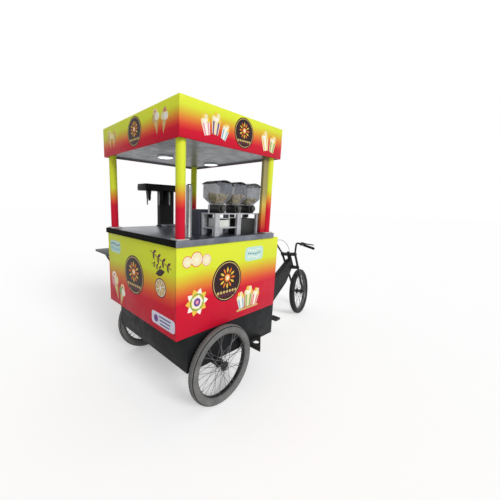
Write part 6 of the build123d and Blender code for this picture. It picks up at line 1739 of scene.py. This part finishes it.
class CART_OT_prints(bpy.types.Operator):
    """Prints the badges and the food motifs on the cabinet and the fascia"""
    bl_idname = "cart.prints"
    bl_label = "Printed Motifs"

    def execute(self, context):
        self.print_right_panel()
        self.print_rear_panel()
        self.print_right_fascia()
        self.print_rear_fascia()
        return {"FINISHED"}

    def print_right_panel(self):
        low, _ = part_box("panel_right")
        motif = Motif("right_panel_prints", face_place((0, low.y, 0), (1, 0, 0), (0, 0, 1)))
        sun_badge(motif, 0.066, 0.915, 0.150)
        for u, v, size, rind in ((-0.300, 1.098, 0.038, "coral"), (-0.225, 1.108, 0.050, "orange"),
                                 (-0.140, 1.094, 0.040, "pink")):
            fruit_slice(motif, u, v, size, rind, "cream")
        flower_ring(motif, -0.216, 0.820, 0.096)
        motif.slab(0.312, 0.655, 0.260, 0.016, "sand", 1, 0.0, 1.0)
        for cup in ((0.226, 0.728, 0.080, 0.22, "pale", "sky"), (0.402, 0.724, 0.082, -0.26, "pale", "coral"),
                    (0.314, 0.744, 0.096, -0.04, "cream", "leaf")):
            party_cup(motif, *cup)
        motif.next_print()
        motif.slab(0.360, 1.087, 0.220, 0.108, "mist", 1, 0.0, 0.6)
        dotted_wave(motif, 0.360, 1.062, 0.140, "pale", 0.0070, 0.006)
        dotted_wave(motif, 0.360, 1.088, 0.140, "navy", 0.0055, 0.005, 1.2)
        dotted_wave(motif, 0.360, 1.114, 0.140, "pale", 0.0065, 0.005, 2.2)
        motif.done("cart", "wrap_side")

    def print_rear_panel(self):
        low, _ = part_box("panel_rear")
        motif = Motif("rear_panel_prints", face_place((low.x, 0, 0), (0, -1, 0), (0, 0, 1)))
        sun_badge(motif, -0.045, 0.914, 0.150)
        motif.next_print()
        motif.slab(-0.362, 1.090, 0.190, 0.100, "mist", 1, 0.0, 0.6)
        dotted_wave(motif, -0.362, 1.110, 0.150, "navy", 0.0065, 0.005)
        dotted_wave(motif, -0.362, 1.072, 0.150, "sky", 0.0075, 0.006, 1.0)
        leaf_sprig(motif, 0.195, 1.140, 0.270, -0.34, "plum", 4)
        leaf_sprig(motif, 0.215, 1.060, 0.170, -0.22, "plum", 3)
        fruit_slice(motif, 0.325, 0.905, 0.066, "plum", "sand")
        motif.next_print()
        motif.petal(0.268, 0.990, 0.110, 0.044, 0.3, "cocoa", 1)
        paper_cone(motif, -0.375, 0.760, 0.128, 0.35, ("pale", "pink", "cream"))
        paper_cone(motif, -0.262, 0.700, 0.104, -0.25, ("cream", "leaf", "pale"))
        motif.next_print()
        motif.slab(0.350, 0.680, 0.276, 0.088, "lavender", 1, 0.0, 0.5)
        motif.disc(0.268, 0.678, 0.026, "violet", 2, 24)
        for k in range(3):
            motif.slab(0.375, 0.702 - 0.024 * k, 0.140 - 0.014 * k, 0.009, "navy", 2, 0.0, 1.0)
        motif.done("cart", "wrap_rear")

    def print_right_fascia(self):
        low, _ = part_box("canopy_fascia")
        motif = Motif("right_fascia_prints", face_place((0, low.y, 0), (1, 0, 0), (0, 0, 1)))
        sun_badge(motif, 0.152, 1.924, 0.096)
        for cup in ((-0.190, 1.905, 0.066, 0.25, "pale", "pink"),
                    (-0.110, 1.925, 0.072, -0.12, "cream", "violet"),
                    (-0.030, 1.895, 0.058, -0.35, "pale", "sky"), (0.385, 1.908, 0.076, 0.22, "pale", "gold"),
                    (0.475, 1.900, 0.070, -0.2, "cream", "leaf")):
            party_cup(motif, *cup)
        motif.done("cart", "fascia_wrap")

    def print_rear_fascia(self):
        low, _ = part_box("canopy_fascia")
        motif = Motif("rear_fascia_prints", face_place((low.x, 0, 0), (0, -1, 0), (0, 0, 1)))
        sun_badge(motif, 0.010, 1.922, 0.096)
        for cone in ((0.285, 1.935, 0.078, 0.16, ("cream", "sand", "pale")),
                     (0.375, 1.925, 0.074, -0.14, ("sand", "cream", "pale")),
                     (-0.385, 1.930, 0.070, 0.12, ("cream", "sand", "cream")),
                     (-0.315, 1.922, 0.064, -0.16, ("sand", "cream", "sand"))):
            paper_cone(motif, *cone)
        motif.done("cart", "fascia_wrap")


class CART_PT_panel(bpy.types.Panel):
    """Lists the cart's settings and its steps"""
    bl_label = "Bicycle Food Cart"
    bl_idname = "CART_PT_panel"
    bl_space_type = "VIEW_3D"
    bl_region_type = "UI"
    bl_category = "Food Cart"

    def draw(self, context):
        layout = self.layout
        for name, group in SETTINGS:
            box = layout.box()
            for prop in group.__annotations__:
                box.prop(getattr(context.scene, name), prop)
        for operator in OPERATORS:
            layout.operator(operator.bl_idname)


SETTINGS = (("cart_wrap", CartWrap), ("cart_wheels", CartWheels), ("cart_store", CartStore),
            ("cart_studio", CartStudio))
OPERATORS = (CART_OT_stage, CART_OT_cabinet, CART_OT_canopy, CART_OT_chassis, CART_OT_wheels,
             CART_OT_steering, CART_OT_drive, CART_OT_dispenser, CART_OT_hopper_rack, CART_OT_prints)


def register():
    for name, group in SETTINGS:
        bpy.utils.register_class(group)
        setattr(bpy.types.Scene, name, PointerProperty(type=group))
    for operator in OPERATORS:
        bpy.utils.register_class(operator)
    bpy.utils.register_class(CART_PT_panel)


def unregister():
    bpy.utils.unregister_class(CART_PT_panel)
    for operator in reversed(OPERATORS):
        bpy.utils.unregister_class(operator)
    for name, group in reversed(SETTINGS):
        delattr(bpy.types.Scene, name)
        bpy.utils.unregister_class(group)


def main():
    register()
    for operator in OPERATORS:
        group, name = operator.bl_idname.split(".")
        getattr(getattr(bpy.ops, group), name)()


if __name__ == "__main__":
    main()
